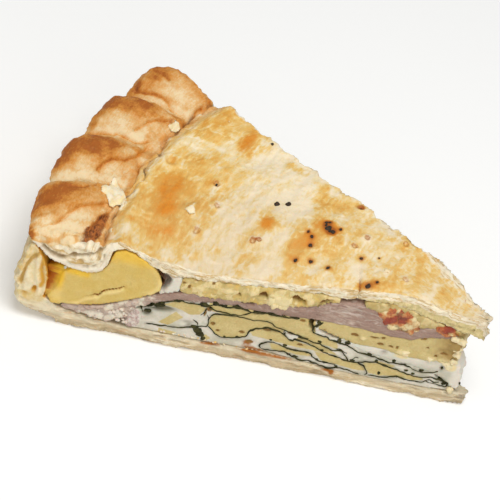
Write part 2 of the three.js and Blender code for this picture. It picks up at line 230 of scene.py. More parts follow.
def line_side(across, up, line):
    """Each place's distance from a line, and its side: 1 to the left of the line's run, -1 to the right."""
    best = np.full(np.shape(across), 1e9)
    side = np.ones(np.shape(across))
    for (a0, u0), (a1, u1) in zip(line, line[1:]):
        da, du = a1 - a0, u1 - u0
        share = np.clip(((across - a0) * da + (up - u0) * du) / (da * da + du * du), 0, 1)
        gap = np.hypot(across - a0 - share * da, up - u0 - share * du)
        closer = gap < best
        best = np.where(closer, gap, best)
        side = np.where(closer, np.sign(da * (up - u0) - du * (across - a0)), side)
    return best, side


def line_gap(across, up, line):
    """Distance from each place to a line of points."""
    return line_side(across, up, line)[0]


def ridged(places, seed):
    """Noise from -1 to 1 with sharp crests."""
    return 1 - 2 * np.abs(ripple(places, seed))


def stepped(value):
    """A slope turned into thin steps, and how near each place is to a step's edge."""
    whole = np.floor(value)
    part = value - whole
    return whole + smooth(0.35, 0.65, part), hump(part - 0.5, 0.16)


def inside(across, up, loop, soft):
    """1 well inside a closed outline and 0 well outside it, soft across the edge."""
    odd = np.zeros(np.shape(across), bool)
    for (a0, u0), (a1, u1) in zip(loop, loop[1:] + loop[:1]):
        crosses = (u0 > up) != (u1 > up)
        odd ^= crosses & (across < (a1 - a0) * (up - u0) / (u1 - u0 + 1e-12) + a0)
    gap = line_gap(across, up, loop + loop[:1])
    return smooth(-soft, soft, np.where(odd, gap, -gap))


def dome(out, turn):
    """How far baking lifted the slice at a place."""
    reach = np.where(out > DOME_RADIUS, DOME_TO_RIM, DOME_TO_TIP)
    across = np.sin(0.5 * np.pi * np.clip((turn + HALF_SLICE) / DOME_FULL, 0, 1))
    return DOME_RISE * across * (0.5 + 0.5 * np.cos(np.pi * np.minimum(1, np.abs(out - DOME_RADIUS) / reach)))


def point_at(out, turn, flat):
    """The point of the slice, in metres, at a place whose height is given before the dome's lift."""
    angle = np.radians(turn)
    high = flat * (1 + dome(np.asarray(out, float), np.asarray(turn, float)) / LID_HEIGHT)
    return columns(APEX_X - out * np.cos(angle), out * np.sin(angle), high) * MM


class Place:
    """Where points lie in the pie."""

    def __init__(self, points):
        x = points[:, 0] / MM - APEX_X
        y = points[:, 1] / MM
        self.out = np.hypot(x, y)
        self.turn = np.degrees(np.arctan2(y, -x))
        self.high = points[:, 2] / MM
        self.flat = self.high / (1 + dome(self.out, self.turn) / LID_HEIGHT)
        self.near = self.out * np.sin(np.radians(self.turn + HALF_SLICE))
        self.far = self.out * np.sin(np.radians(HALF_SLICE - self.turn))
        self.ends = np.minimum(self.near, self.far)
        self.sheet = columns(self.out, self.turn * ARC, self.flat)
        self.solid = points / MM
        self.plan = columns(x, y, 0)
        angle = np.radians(self.turn)
        self.outwards = columns(-np.cos(angle), np.sin(angle), 0)
        self.around = columns(np.sin(angle), np.cos(angle), 0)

    def apart(self, out, turn, half_out, half_round):
        """How far each point is from a patch's middle, in shares of the patch's half widths."""
        round_gap = np.radians(self.turn - turn) * out
        return np.hypot((self.out - out) / half_out, round_gap / half_round)

    def cut_gap(self, out, flat, half_out, half_up):
        """The same on the cuts, by the distance out and the height."""
        return np.hypot((self.out - out) / half_out, (self.flat - flat) / half_up)

    def patches(self, spots):
        """The sum of soft patches seen from above: middle, half widths and strength of each."""
        total = np.zeros(len(self.out))
        for x, y, half_x, half_y, strength in spots:
            gap = np.hypot((self.plan[:, 0] - x) / half_x, (self.plan[:, 1] - y) / half_y)
            total += strength * hump(gap, 1)
        return total

    def cut_patches(self, spots):
        """The same on the cuts."""
        return sum(strength * hump(self.cut_gap(*spot), 1) for *spot, strength in spots)

    def fold(self):
        """The share of the way from one crest of the rope to the next."""
        turned = self.turn - FOLD_SLANT * (RIM_RADIUS - self.out) / RIM_WIDTH
        crests = np.array(FOLD_CRESTS)
        after = np.clip(np.searchsorted(crests, turned), 1, len(crests) - 1)
        return (turned - crests[after - 1]) / (crests[after] - crests[after - 1])


def shell_of(shape):
    """The points and faces of a shape, which is then let go."""
    points = np.array([v.co for v in shape.verts])
    faces = [[v.index for v in f.verts] for f in shape.faces]
    shape.free()
    return points, faces


def welded(node, grow=0.0):
    """A CAD node's shell with doubled points joined, grown within each section by some millimetres."""
    shape = bmesh.new()
    shape.from_mesh(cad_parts[node].data)
    bmesh.ops.remove_doubles(shape, verts=shape.verts, dist=1e-6)
    shape.normal_update()
    normals = np.array([v.normal for v in shape.verts])
    points, faces = shell_of(shape)
    if grow:
        points = points + section_part(points, normals) * grow * MM
    return points, faces


def section_part(points, directions):
    """The part of each direction that lies in the slice's section there, not round the pie."""
    around = Place(points).around
    return directions - around * np.sum(directions * around, -1, keepdims=True)


class Skin:
    """CAD nodes as one fine even mesh, to shape and paint."""

    def __init__(self, name, nodes, grain, filled=()):
        self.name, self.nodes = name, nodes
        shells = [welded(node) for node in nodes] + [welded(node, LEAF_ROOM_FILL) for node in filled]
        rough = joined_mesh(name + "_rough", shells)
        holder = bpy.data.objects.new(name + "_rough", rough)
        bpy.context.scene.collection.objects.link(holder)
        remesh = holder.modifiers.new("grain", "REMESH")
        remesh.mode = "VOXEL"
        remesh.voxel_size = grain
        made = holder.evaluated_get(bpy.context.evaluated_depsgraph_get())
        self.mesh = bpy.data.meshes.new_from_object(made)
        bpy.data.objects.remove(holder)
        bpy.data.meshes.remove(rough)
        if not len(self.mesh.vertices):
            raise RuntimeError(f"{name} has no mesh")
        self.mesh.name = name
        self.points = mesh_points(self.mesh)
        edges = np.empty(len(self.mesh.edges) * 2, np.int32)
        self.mesh.edges.foreach_get("vertices", edges)
        self.edges = edges.reshape(-1, 2)
        self.masks = {}
        self.read()

    def read(self):
        """Takes up the mesh as it is now."""
        self.mesh.vertices.foreach_set("co", self.points.ravel())
        self.mesh.update()
        normals = np.empty(len(self.points) * 3)
        self.mesh.vertex_normals.foreach_get("vector", normals)
        self.normals = normals.reshape(-1, 3)
        self.at = Place(self.points)
        self.outwards, self.around = self.at.outwards, self.at.around
        self.inward = np.where(self.at.near < self.at.far, 1.0, -1.0)[:, None] * self.around
        self.faces_out = np.sum(self.normals * self.outwards, -1)
        self.faces_round = np.sum(self.normals * self.around, -1)
        self.faces_up = self.normals[:, 2]
        self.near_cut = smooth(0.5, 0.8, -self.faces_round) * smooth(1.5, 0.7, self.at.near)
        self.far_cut = smooth(0.5, 0.8, self.faces_round) * smooth(1.5, 0.7, self.at.far)
        self.cut = np.clip(self.near_cut + self.far_cut, 0, 1)

    def relax(self, rounds):
        """Evens out the solid's facets, but not its cut edges."""
        weight = 0.5 * smooth(0.3, 1.4, self.at.ends)[:, None]
        a, b = self.edges.T
        count = np.bincount(np.r_[a, b], minlength=len(self.points))[:, None]
        for _ in range(rounds):
            total = columns(*(
                np.bincount(np.r_[a, b], np.r_[self.points[b, k], self.points[a, k]], len(self.points))
                for k in range(3)
            ))
            self.points = self.points + weight * (total / count - self.points)
        self.read()

    def swell(self, amount):
        """Spreads the piece within its sections, to meet what lies beside it."""
        self.points = self.points + section_part(self.points, self.normals) * amount
        self.read()

    def push(self, amount, directions=None):
        """Moves points by millimetres along their normals or along other directions."""
        along = self.normals if directions is None else directions
        self.points = self.points + along * (amount * MM)[:, None]

    def paint(self, **masks):
        for name, values in masks.items():
            self.masks[name] = np.clip(values, 0, 1)

    def note(self, **values):
        self.masks.update(values)

    def done(self, finish, slot):
        self.read()
        self.paint(cut=self.cut)
        return dressed(self.name, self.mesh, self.at, self.masks, finish, self.nodes)


def dressed(name, mesh, at, masks, finish, nodes=()):
    """A finished piece: its masks as attributes, its finish, and what it stands for."""
    for mask, values in masks.items():
        layer = mesh.attributes.new(mask, "FLOAT", "POINT")
        layer.data.foreach_set("value", np.asarray(values, np.float32))
    layer = mesh.attributes.new("place", "FLOAT_VECTOR", "POINT")
    layer.data.foreach_set("vector", np.asarray(at.sheet, np.float32).ravel())
    mesh.materials.clear()
    mesh.materials.append(finish)
    mesh.shade_smooth()
    piece = bpy.data.objects.new(name, mesh)
    bpy.context.scene.collection.objects.link(piece)
    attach(piece, "root")
    if nodes:
        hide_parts(*nodes)
    return piece


def joined_mesh(name, shells):
    """One mesh out of many small closed shells of points and faces."""
    points, faces = [], []
    for more, sides in shells:
        start = sum(len(p) for p in points)
        points.append(np.asarray(more))
        faces += [[start + i for i in side] for side in sides]
    mesh = bpy.data.meshes.new(name)
    mesh.from_pydata(np.concatenate(points).tolist(), [], faces)
    mesh.update()
    return mesh


def mesh_points(mesh):
    flat = np.empty(len(mesh.vertices) * 3)
    mesh.vertices.foreach_get("co", flat)
    return flat.reshape(-1, 3)


def round_shell(level):
    """A unit ball's points and faces."""
    shape = bmesh.new()
    bmesh.ops.create_icosphere(shape, subdivisions=level, radius=1.0)
    return shell_of(shape)


class Wire:
    """A value that runs through a finish's nodes and takes part in sums."""

    def __init__(self, finish, socket):
        self.finish, self.socket = finish, socket

    def sum(self, operation, first, second):
        return self.finish.node("Math", {"operation": operation}, {0: first, 1: second})

    def __add__(self, other):
        return self.sum("ADD", self, other)

    def __radd__(self, other):
        return self.sum("ADD", other, self)

    def __sub__(self, other):
        return self.sum("SUBTRACT", self, other)

    def __rsub__(self, other):
        return self.sum("SUBTRACT", other, self)

    def __mul__(self, other):
        return self.sum("MULTIPLY", self, other)

    def __rmul__(self, other):
        return self.sum("MULTIPLY", other, self)


def rgba(colour):
    """A colour as a socket takes it, from a wire, a colour's code or a colour of the panel."""
    if isinstance(colour, Wire):
        return colour
    return (*(hex_colour(colour) if isinstance(colour, str) else colour), 1.0)


class Finish:
    """A material made of nodes, with an even gloss, and light that goes some metres into it."""

    def __init__(self, name, gloss, soft=0.0, depth=0.002):
        self.material = bpy.data.materials.new(name)
        self.material.use_nodes = True
        self.tree = self.material.node_tree
        self.shader = self.tree.nodes["Principled BSDF"]
        self.set("Specular IOR Level", gloss)
        self.set("Subsurface Weight", soft)
        self.set("Subsurface Scale", depth)

    def set(self, socket, value):
        self.shader.inputs[socket].default_value = value

    def node(self, kind, settings=None, sockets=None, out=0):
        made = self.tree.nodes.new("ShaderNode" + kind)
        for key, value in (settings or {}).items():
            if key == "stops":
                while len(made.color_ramp.elements) < len(value):
                    made.color_ramp.elements.new(1.0)
                for element, (place, colour) in zip(made.color_ramp.elements, value):
                    element.position = place
                    element.color = colour
            else:
                setattr(made, key, value)
        for key, value in (sockets or {}).items():
            if isinstance(value, Wire):
                self.tree.links.new(value.socket, made.inputs[key])
            else:
                made.inputs[key].default_value = value
        return Wire(self, made.outputs[out])

    def mask(self, name):
        return self.node("Attribute", {"attribute_name": name}, out="Fac")

    def place(self, *stretch):
        place = self.node("Attribute", {"attribute_name": "place"}, out="Vector")
        if stretch:
            place = self.node("VectorMath", {"operation": "MULTIPLY"}, {0: place, 1: stretch})
        return place

    def grain(self, scale, detail=3, stretch=(), rough=0.55, twist=0):
        """Noise from 0 to 1 with so many swells a millimetre."""
        return self.node("TexNoise", None, {
            "Vector": self.place(*stretch), "Scale": scale, "Detail": detail, "Roughness": rough,
            "Distortion": twist,
        })

    def crumbs(self, scale):
        return self.node("TexVoronoi", None, {"Vector": self.place(), "Scale": scale}, "Distance")

    def between(self, value, low, high):
        """0 at low and 1 at high."""
        return self.node("MapRange", {"interpolation_type": "SMOOTHSTEP"}, {
            "Value": value, "From Min": low, "From Max": high,
        })

    def uneven(self, value, *noises):
        """A value, or a mask by its name, with noises of some strength laid over it."""
        value = self.mask(value) if isinstance(value, str) else value
        for noise, strength in noises:
            value = value + (noise - 0.5) * strength
        return value

    def worn(self, value, low, high, *noises):
        """An uneven value or mask: 0 at low and 1 at high."""
        return self.between(self.uneven(value, *noises), low, high)

    def blend(self, share, first, second):
        """From the first colour at 0 to the second at 1."""
        return self.node("Mix", {"data_type": "RGBA"}, {0: share, 6: rgba(first), 7: rgba(second)}, 2)

    def over(self, first, second, value, low, high, *noises):
        """The second colour over the first, as an uneven value or mask goes from low to high."""
        return self.blend(self.worn(value, low, high, *noises), first, second)

    def ramp(self, value, *stops):
        """Colours at places along a value."""
        stops = [(place, rgba(colour)) for place, colour in stops]
        return self.node("ValToRGB", {"stops": stops}, {0: value})

    def shaded(self, colour, value):
        """A colour made lighter or darker, with no change at 0.5."""
        grey = self.node("CombineColor", None, {0: value, 1: value, 2: value})
        settings = {"data_type": "RGBA", "blend_type": "SOFT_LIGHT"}
        return self.node("Mix", settings, {0: 1.0, 6: colour, 7: grey}, 2)

    def bake(self, colour, roughness, height, depth):
        """Feeds the shader and gives the material."""
        bump = self.node("Bump", None, {"Height": height, "Distance": depth * MM, "Strength": 1.0})
        for socket, value in (("Base Color", colour), ("Roughness", roughness), ("Normal", bump)):
            if isinstance(value, Wire):
                self.tree.links.new(value.socket, self.shader.inputs[socket])
            else:
                self.set(socket, value)
        return self.material


def layered(finish, colours, fine=1.5):
    """Colour and height of the flaky layers that show where pastry is cut or torn."""
    split = finish.node("SeparateXYZ", None, {0: finish.place()}).socket.node
    out, turn = (Wire(finish, split.outputs[k]) for k in (0, 1))
    sheet = finish.node("CombineXYZ", None, {0: out * 0.16, 1: turn * 0.16, 2: finish.mask("layer") * fine})
    sheets = finish.node("TexNoise", None, {
        "Vector": sheet, "Scale": 1, "Detail": 4, "Roughness": 0.6, "Distortion": 0.5,
    })
    mottle = finish.grain(0.5, 4, (), 0.6)
    # The darker lines between the flaky layers are painted shade
    colour = finish.over(colours.layer_shade, colours.layer, sheets, 0.34, 0.56, (mottle, 0.35))
    return finish.shaded(colour, 0.34 + mottle * 0.32), sheets


def lid_finish(colours):
    f = Finish("glazed_flaky_pastry", 0.32, 0.05)
    strokes = f.grain(0.32, 5, (1, 0.45, 0.3), 0.62, 0.6)
    veins = f.grain(0.8, 4, (1, 0.5, 0.4), 0.6, 1)
    fine = f.grain(1.9, 5, (), 0.65)
    gold = f.uneven(f.mask("gold") + f.mask("amber") * 0.7, (strokes, 1.2), (veins, 1.1), (fine, 0.6))
    glaze = f.ramp(gold, (0, colours.ivory), (0.3, colours.cream), (0.62, colours.golden), (1, colours.honey))
    bake = f.uneven("bake", (strokes, 0.4), (veins, 0.5), (fine, 1))
    skin = f.ramp(bake, (0, colours.biscuit), (0.34, colours.tan), (0.66, colours.toasted),
                  (1, colours.brown))
    # Painted shade: the glaze is blended towards a dull tan on the lid near the near cut
    glaze = f.blend(f.mask("dull") * 0.3, glaze, "#B8986A")
    colour = f.blend(f.mask("rim"), glaze, skin)
    colour = f.over(colour, colours.amber, "amber", 0.25, 1.1, (strokes, 1), (veins, 0.9))
    colour = f.over(colour, colours.brown, "toast", 0.12, 0.9, (fine, 0.6))
    scorched = f.over(colours.burnt, "#AE6428", veins, 0.4, 0.62, (fine, 0.9))
    colour = f.over(colour, scorched, "char", 0.15, 0.8, (fine, 0.7), (veins, 0.4))
    torn, sheets = layered(f, colours)
    lip = f.mask("lip")
    torn = f.blend(lip * 0.7, torn, "#EADFCB")
    # Painted shade in the gaps between the layers of the rope's cut end
    torn = f.blend(f.worn("hollow", 0.15, 0.95, (fine, 0.4)) * 0.85, torn, "#A2855A")
    colour = f.over(colour, torn, "pale", 0.25, 0.75, (fine, 0.5))
    egg = f.over("#CDBB82", colours.egg_pale, veins, 0.35, 0.65)
    colour = f.over(colour, egg, "eggy", 0.3, 0.8, (fine, 0.8), (strokes, 0.6))
    # Painted shade in the crack between lid and rope
    colour = f.blend(f.worn("crack", 0.2, 0.8, (fine, 0.5)) * 0.8, colour, "#80552B")
    colour = f.shaded(colour, 0.32 + fine * 0.36)
    roughness = 0.4 + f.mask("pale") * 0.3 + f.mask("rim") * 0.14 + fine * 0.16
    height = fine * 0.7 + veins * 0.5 + sheets * f.mask("pale") * (1.2 - lip)
    return f.bake(colour, roughness, height, 0.2)


def base_finish(colours):
    f = Finish("layered_base_pastry", 0.28, 0.08)
    mottle = f.grain(0.3, 5, (), 0.6, 0.3)
    fine = f.grain(1.5, 5, (), 0.65)
    torn, sheets = layered(f, colours, 1.9)
    colour = f.over(colours.base, colours.base_moist, "damp", 0.1, 0.9, (sheets, 1.2), (mottle, 0.6))
    rust = f.worn(sheets, 0.6, 0.7, (mottle, 0.4)) * f.mask("cut")
    colour = f.blend(rust * 0.6, colour, colours.toasted)
    colour = f.over(colour, torn, "pale", 0.2, 0.8, (mottle, 0.7))
    puffed = f.over("#EFE0BC", "#DFC588", mottle, 0.35, 0.7, (fine, 0.4))
    colour = f.blend(f.mask("wall"), colour, puffed)
    colour = f.over(colour, "#DDB96C", "toast", 0.2, 0.95, (mottle, 0.7), (fine, 0.3))
    # Painted shade in the wall's outer groove and beside its inner ridge
    colour = f.over(colour, "#C59E56", "olive", 0.15, 0.9, (mottle, 0.5))
    colour = f.over(colour, "#D2942C", "inner", 0.2, 0.8, (fine, 0.4), (mottle, 0.4))
    colour = f.over(colour, "#D29C36", "deep", 0.2, 0.9, (fine, 0.4))
    colour = f.over(colour, colours.stain, "stain", 0.25, 0.95, (mottle, 0.9), (fine, 0.5))
    colour = f.shaded(colour, 0.3 + fine * 0.4)
    return f.bake(colour, 0.55 + fine * 0.2, fine * 0.8 + sheets * (1 - f.mask("wall")) * 1.2, 0.3)


def yolk_finish(colours):
    f = Finish("set_yolk", 0.3, 0.1)
    mottle = f.grain(0.25, 4)
    fine = f.grain(2.6, 4, (), 0.7)
    grit = f.crumbs(1.6)
    colour = f.over(colours.yolk, "#DBBF74", mottle, 0.35, 0.75, (fine, 0.5))
    colour = f.blend(f.between(grit, 0.28, 0.05) * 0.35, colour, "#EFD68E")
    # Brighter yolk on the edge strip and under the rim, partly painted light against the shade there
    colour = f.over(colour, colours.yolk_bright, "bright", 0, 1, (fine, 0.3))
    # Deep orange in the recess beside the yolk's face: yolk colour darkened as painted shade
    colour = f.blend(f.mask("orange"), colour, "#AE5E02")
    colour = f.blend(f.mask("lip") * (0.55 + fine * 0.5), colour, "#F1D68E")
    colour = f.over(colour, "#96560A", "crack", 0.35, 0.8, (fine, 0.7))
    colour = f.shaded(colour, 0.3 + mottle * 0.2 + fine * 0.2)
    return f.bake(colour, 0.46 + fine * 0.15, fine + grit * 0.5 + mottle, 0.2)


def white_finish(colours):
    f = Finish("set_egg_white", 0.45, 0.18, 0.003)
    mottle = f.grain(0.22, 4, (), 0.55, 0.4)
    fine = f.grain(1.3, 4)
    colour = f.over(colours.white, colours.white_cool, "cool", 0.1, 0.9, (mottle, 0.8))
    colour = f.over(colour, colours.egg_pale, "egg", 0.3, 0.8, (mottle, 0.7))
    # Painted shade in the white's hollow and pits
    colour = f.blend(f.mask("hole"), colour, colours.hole)
    colour = f.shaded(colour, 0.36 + fine * 0.28)
    return f.bake(colour, 0.34 + fine * 0.2, fine + mottle, 0.12)


def egg_finish(colours):
    f = Finish("set_beaten_egg", 0.36, 0.12)
    mottle = f.grain(0.28, 5, (), 0.6, 0.4)
    fine = f.grain(1.6, 5, (), 0.65)
    pores = f.crumbs(0.9)
    colour = f.over(colours.egg, "#D0BC82", mottle, 0.3, 0.8, (fine, 0.4))
    colour = f.over(colour, "#D3AC4E", "sunny", 0.3, 0.9, (mottle, 1.6), (fine, 0.4))
    colour = f.over(colour, colours.egg_pale, "crumb", 0.2, 0.85, (mottle, 0.7), (fine, 0.5))
    cool = f.over(colours.white, colours.white_cool, f.grain(0.16, 3), 0.35, 0.65)
    colour = f.over(colour, cool, "white", 0.25, 0.75, (mottle, 0.35), (fine, 0.2))
    shreds = f.over(colours.bacon, "#DFD3C6", mottle, 0.38, 0.62, (fine, 0.5))
    colour = f.over(colour, shreds, "meat", 0.3, 0.7, (mottle, 0.6), (fine, 0.5))
    # Painted shade: darker egg where the lid overhangs it near the tip
    colour = f.over(colour, "#A4864A", "deep", 0.2, 1, (mottle, 0.8), (fine, 0.5))
    colour = f.over(colour, "#9A5C16", "stain", 0.25, 0.9, (mottle, 1.2), (fine, 0.7))
    # Painted shade in the pits and notches
    colour = f.over(colour, "#8C6426", "pit", 0.35, 0.85, (fine, 0.9))
    # Painted shade beside the leaves and in the hollows under them
    green = f.worn("green", 0.1, 1, (mottle, 0.3), (fine, 0.3))
    colour = f.blend(green * 0.85, colour, "#56502C")
    colour = f.shaded(colour, 0.32 + fine * 0.36)
    return f.bake(colour, 0.42 + fine * 0.2, fine * 0.7 + pores * 0.4, 0.2)


def bacon_finish(colours):
    f = Finish("cooked_bacon", 0.42, 0.1)
    fibres = f.grain(1, 5, (0.26, 0.26, 1.1), 0.65, 1.3)
    fine = f.grain(1.8, 4, (), 0.65)
    mottle = f.grain(0.3, 4, (0.6, 0.6, 1), 0.6, 0.5)
    colour = f.over("#A08272", colours.bacon_pale, "pale", 0.2, 0.85, (fibres, 1.9), (mottle, 1.1))
    dark = f.worn(fibres, 0.45, 0.22, (fine, 0.5), (mottle, 0.4))
    colour = f.blend(dark * 0.65, colour, "#74544E")
    streaks = f.between(f.grain(0.5, 4, (0.3, 0.3, 1), 0.62, 1.6), 0.53, 0.68)
    colour = f.blend(streaks * 0.6, colour, "#CDBFB2")
    colour = f.over(colour, "#DFD3BE", "crumb", 0.3, 0.8, (fine, 0.9), (mottle, 0.6))
    # Painted shade in the bacon's hole, and a weaker share of it on the dark spots
    colour = f.blend(f.mask("hole"), colour, colours.hole)
    colour = f.shaded(colour, 0.34 + fine * 0.32)
    return f.bake(colour, 0.36 + fine * 0.25, fibres + fine * 0.4, 0.25)


def crisp_finish(colours):
    f = Finish("crisp_bacon_crumb", 0.5)
    mottle = f.grain(0.7, 4, (), 0.6, 0.4)
    fine = f.grain(1.8, 4, (), 0.6)
    own = f.uneven("own", (mottle, 0.8), (fine, 0.5))
    colour = f.ramp(own, (0.12, colours.crisp), (0.4, colours.crisp_orange), (0.62, "#D2A468"),
                    (0.85, "#E4D09E"))
    # Painted shade in the gaps between the crumbs
    colour = f.blend(f.mask("gap") * 0.6, colour, colours.hole)
    colour = f.shaded(colour, 0.32 + fine * 0.36)
    return f.bake(colour, 0.34 + fine * 0.2, fine + mottle, 0.25)


def leaf_finish(colours):
    f = Finish("cooked_leaf", 0.12)
    fine = f.grain(1.2, 4)
    colour = f.over(colours.leaf, colours.leaf_light, fine + f.mask("thin") * 0.25, 0.45, 0.85)
    return f.bake(colour, 0.45 + fine * 0.2, fine, 0.15)


def crumb_finish(colours):
    f = Finish("loose_crumb", 0.28, 0.08, 0.001)
    fine = f.grain(1.4, 4)
    colour = f.ramp(f.mask("own"), (0, colours.egg_pale), (0.6, colours.layer), (0.78, "#D8CABB"),
                    (0.95, colours.golden))
    return f.bake(f.shaded(colour, 0.3 + fine * 0.4), 0.6 + fine * 0.15, fine, 0.15)


def flake_finish(colours):
    f = Finish("loose_flake", 0.3, 0.1, 0.001)
    mottle = f.grain(0.5, 4, (), 0.6, 0.4)
    fine = f.grain(1.6, 4)
    colour = f.over(colours.flake, colours.cream, mottle, 0.3, 0.7, (fine, 0.5))
    colour = f.blend(f.worn(fine, 0.68, 0.85, (mottle, 0.6)) * 0.5, colour, colours.golden)
    return f.bake(f.shaded(colour, 0.34 + fine * 0.32), 0.5 + fine * 0.2, fine + mottle, 0.12)


def speck_finish(colours):
    f = Finish("charred_speck", 0.3)
    fine = f.grain(2.2)
    colour = f.over(colours.speck, colours.burnt, fine, 0.45, 0.75)
    return f.bake(colour, 0.5 + fine * 0.2, fine, 0.1)


# Patches of the lid seen from above the pie's centre, +x towards the tip and +y towards the far cut: middle,
# half widths and strength
AMBER_PATCHES = (
    (-104.5, -13, 4.6, 5.6, 0.75), (-103, -17.5, 4, 3.4, 0.5), (-106, -5, 3.4, 4.6, 0.85),
    (-103, -26, 4.6, 3.6, 0.5), (-98, -23.5, 2.6, 3.6, 0.45), (-109, -26.7, 1.2, 2, 0.8),
    (-110.3, 3.2, 1.5, 2.6, 0.4), (-104, 8, 3, 4, 0.3), (-95.3, 25.6, 1.9, 5.6, 0.65),
    (-91.6, 23, 1.4, 4.6, 0.4), (-74.9, -5.6, 2.1, 2.9, 1.25), (-64.8, -9.4, 2.2, 3.6, 0.45),
    (-107, 33, 3, 2, 0.5), (-110, 26, 1.4, 3, 0.45), (-62, 2, 1.6, 2, 0.4), (-59, 4, 2, 2, 0.4),
    (-62.5, -6.5, 2.6, 4, 0.45), (-94, 27, 3, 6.5, 0.3), (-41.2, -12.6, 1.4, 1.4, 0.5),
    (-92, -4, 1.6, 2.6, 0.35), (-96, 2, 2.6, 3, 0.3),
)
GOLDEN_PATCHES = (
    (-77.6, 23.2, 4, 2.6, 0.75), (-104, -9, 7, 11, 0.3), (-73.5, -18.8, 3, 2, 0.4),
    (-76.5, 14, 1, 2.4, 0.35), (-66, 18, 1.6, 6, 0.3), (-58, 14, 3, 5, 0.25), (-83.5, -21, 1.6, 2, 0.4),
    (-90.3, -10.6, 1.6, 3.2, 0.4), (-88, -26, 4, 5, 0.3), (-112, -24, 2.5, 5, 0.2), (-76, -15, 3, 4, 0.3),
    (-76, -25, 3, 4, 0.15), (-64, -10, 2.5, 7, 0.15), (-52, 8, 3, 3, 0.12), (-33, 8, 3, 3, 0.15),
    (-106, 8, 3.4, 4, 0.3), (-28, 0, 3.5, 7, 0.35), (-55, -4, 5, 4, 0.3), (-74.9, -5.6, 3.2, 4.2, 0.5),
    (-79.6, -13, 2, 1.6, 0.3), (-50, 4.6, 2, 2, 0.3), (-36, 9, 1.2, 4, 0.35),
)
CREAM_PATCHES = (
    (-108, 15, 3.6, 2.4, 0.35), (-109.5, -33, 3.6, 3.4, 0.6), (-104, 17.6, 6, 1.2, 0.45),
    (-46, -8, 3, 4, 0.35), (-36.8, -4.4, 1.5, 1.4, 0.6), (-30.6, -4.2, 1.2, 0.9, 0.5),
    (-112.6, 8, 1.6, 6, 0.4), (-105.5, 24, 1.8, 1.2, 0.45), (-97, 14, 2, 1.6, 0.3), (-100, -9, 1, 1, 0.3),
    (-72, 2, 3, 8, 0.2), (-83, 20, 7, 5, 0.3), (-97, 20, 4, 3.5, 0.3), (-64, 20, 3, 3, 0.3),
    (-94, -14, 1.6, 2.6, 0.35), (-58, 9, 3, 3, 0.25), (-70, 8, 2.5, 5, 0.2), (-97, 14, 9, 12, 0.12),
    (-64, 8, 3, 4, 0.2), (-45, 0, 5, 14, 0.1), (-93, -18, 3, 9, 0.12), (-52, -14, 4, 3, 0.12),
)
# How golden the glaze is along the slice
GOLD_ALONG = (
    -117, -110, -104, -96, -91.5, -89, -84, -78, -74, -68, -66.5, -64.5, -60, -56, -50, -44, -38.5, -35,
    -30, -22, -18, -12, -5,
)
GOLD_LEVEL = (
    0.54, 0.64, 0.76, 0.68, 0.56, 0.24, 0.1, 0.14, 0.18, 0.16, 0.34, 0.7, 0.7, 0.58, 0.5, 0.38, 0.42, 0.58,
    0.58, 0.46, 0.4, 0.36, 0.3,
)
# Patches of the rope rim, given in the same way
RIM_BROWN = (
    (-133.5, -8, 3, 3, 0.75), (-136.6, -13, 2, 5.5, 0.75), (-131.5, -8.3, 1.8, 1.6, 0.6),
    (-127.3, -3.5, 1.4, 2.4, 0.55), (-133, -1.5, 5, 4.5, 0.6), (-131.5, -33, 3.2, 4, 0.62),
    (-131.5, -36.5, 2.6, 2.8, 0.45), (-128.6, -29, 3.4, 2, 0.5), (-133.6, -40.5, 2, 5, 0.5),
    (-125.3, -36, 0.7, 1.6, 0.35), (-131, -42.5, 0.9, 0.9, 0.4), (-131.2, -46.5, 1.6, 1.2, 0.8),
    (-128, -45.8, 2, 0.8, 0.5), (-135.5, 25, 2.6, 5, 0.72), (-136.6, 16, 1.8, 5, 0.72),
    (-131, 24, 1.8, 4.5, 0.5), (-137.6, 5, 0.8, 3, 0.5), (-133, 15.5, 3, 2, 0.4), (-132.5, 40, 2.2, 4, 0.6),
    (-131.3, 33, 2.2, 2.2, 0.65), (-128, 35.4, 1.6, 1, 0.5), (-134.6, 29.6, 0.9, 1.8, 0.95),
    (-127, 21, 1.2, 4, 0.35), (-118, 25.5, 1.2, 2, 0.4), (-138, -20, 2, 6, 0.4), (-139, 0, 1.4, 40, 0.35),
    (-129.5, 19.5, 4.5, 4.5, 0.4), (-129, -7.5, 4.5, 4, 0.4), (-128.5, -35, 4, 4.5, 0.35),
    (-133.4, -13.9, 3.4, 3.6, 0.25), (-129.1, 32.2, 3.4, 3.6, 0.15),
)
RIM_DARK = (
    (-131.6, -8.4, 1.4, 1.2, 0.55), (-136.4, -14.4, 1.4, 2.6, 0.4), (-134.4, -6.2, 1, 1.2, 0.3),
    (-131.4, -46.8, 1, 0.7, 0.5), (-134.6, 29, 0.7, 1.2, 0.7), (-119.2, 21.6, 0.6, 1.2, 0.6),
    (-117.8, 18.8, 0.9, 0.8, 0.5),
)
RIM_ORANGE = (
    (-124, -24, 1.4, 3.4, 0.55), (-123.8, -17, 0.8, 2, 0.5), (-120.5, -7, 3.2, 4.6, 0.42),
    (-128, 15, 1.6, 2, 0.45), (-122, 12, 0.8, 1.8, 0.75), (-118.6, 15, 0.9, 3.6, 0.75),
    (-120.7, 4, 0.7, 4, 0.75), (-116.8, -11, 1, 5, 0.6), (-119, -29, 1.6, 2, 0.3),
    (-133.2, -18.2, 0.8, 1, 0.35), (-134.6, 6, 0.8, 1.6, 0.45), (-115.4, 37, 2, 2, 0.4),
    (-129.1, 32.2, 3, 3.4, 0.3),
)
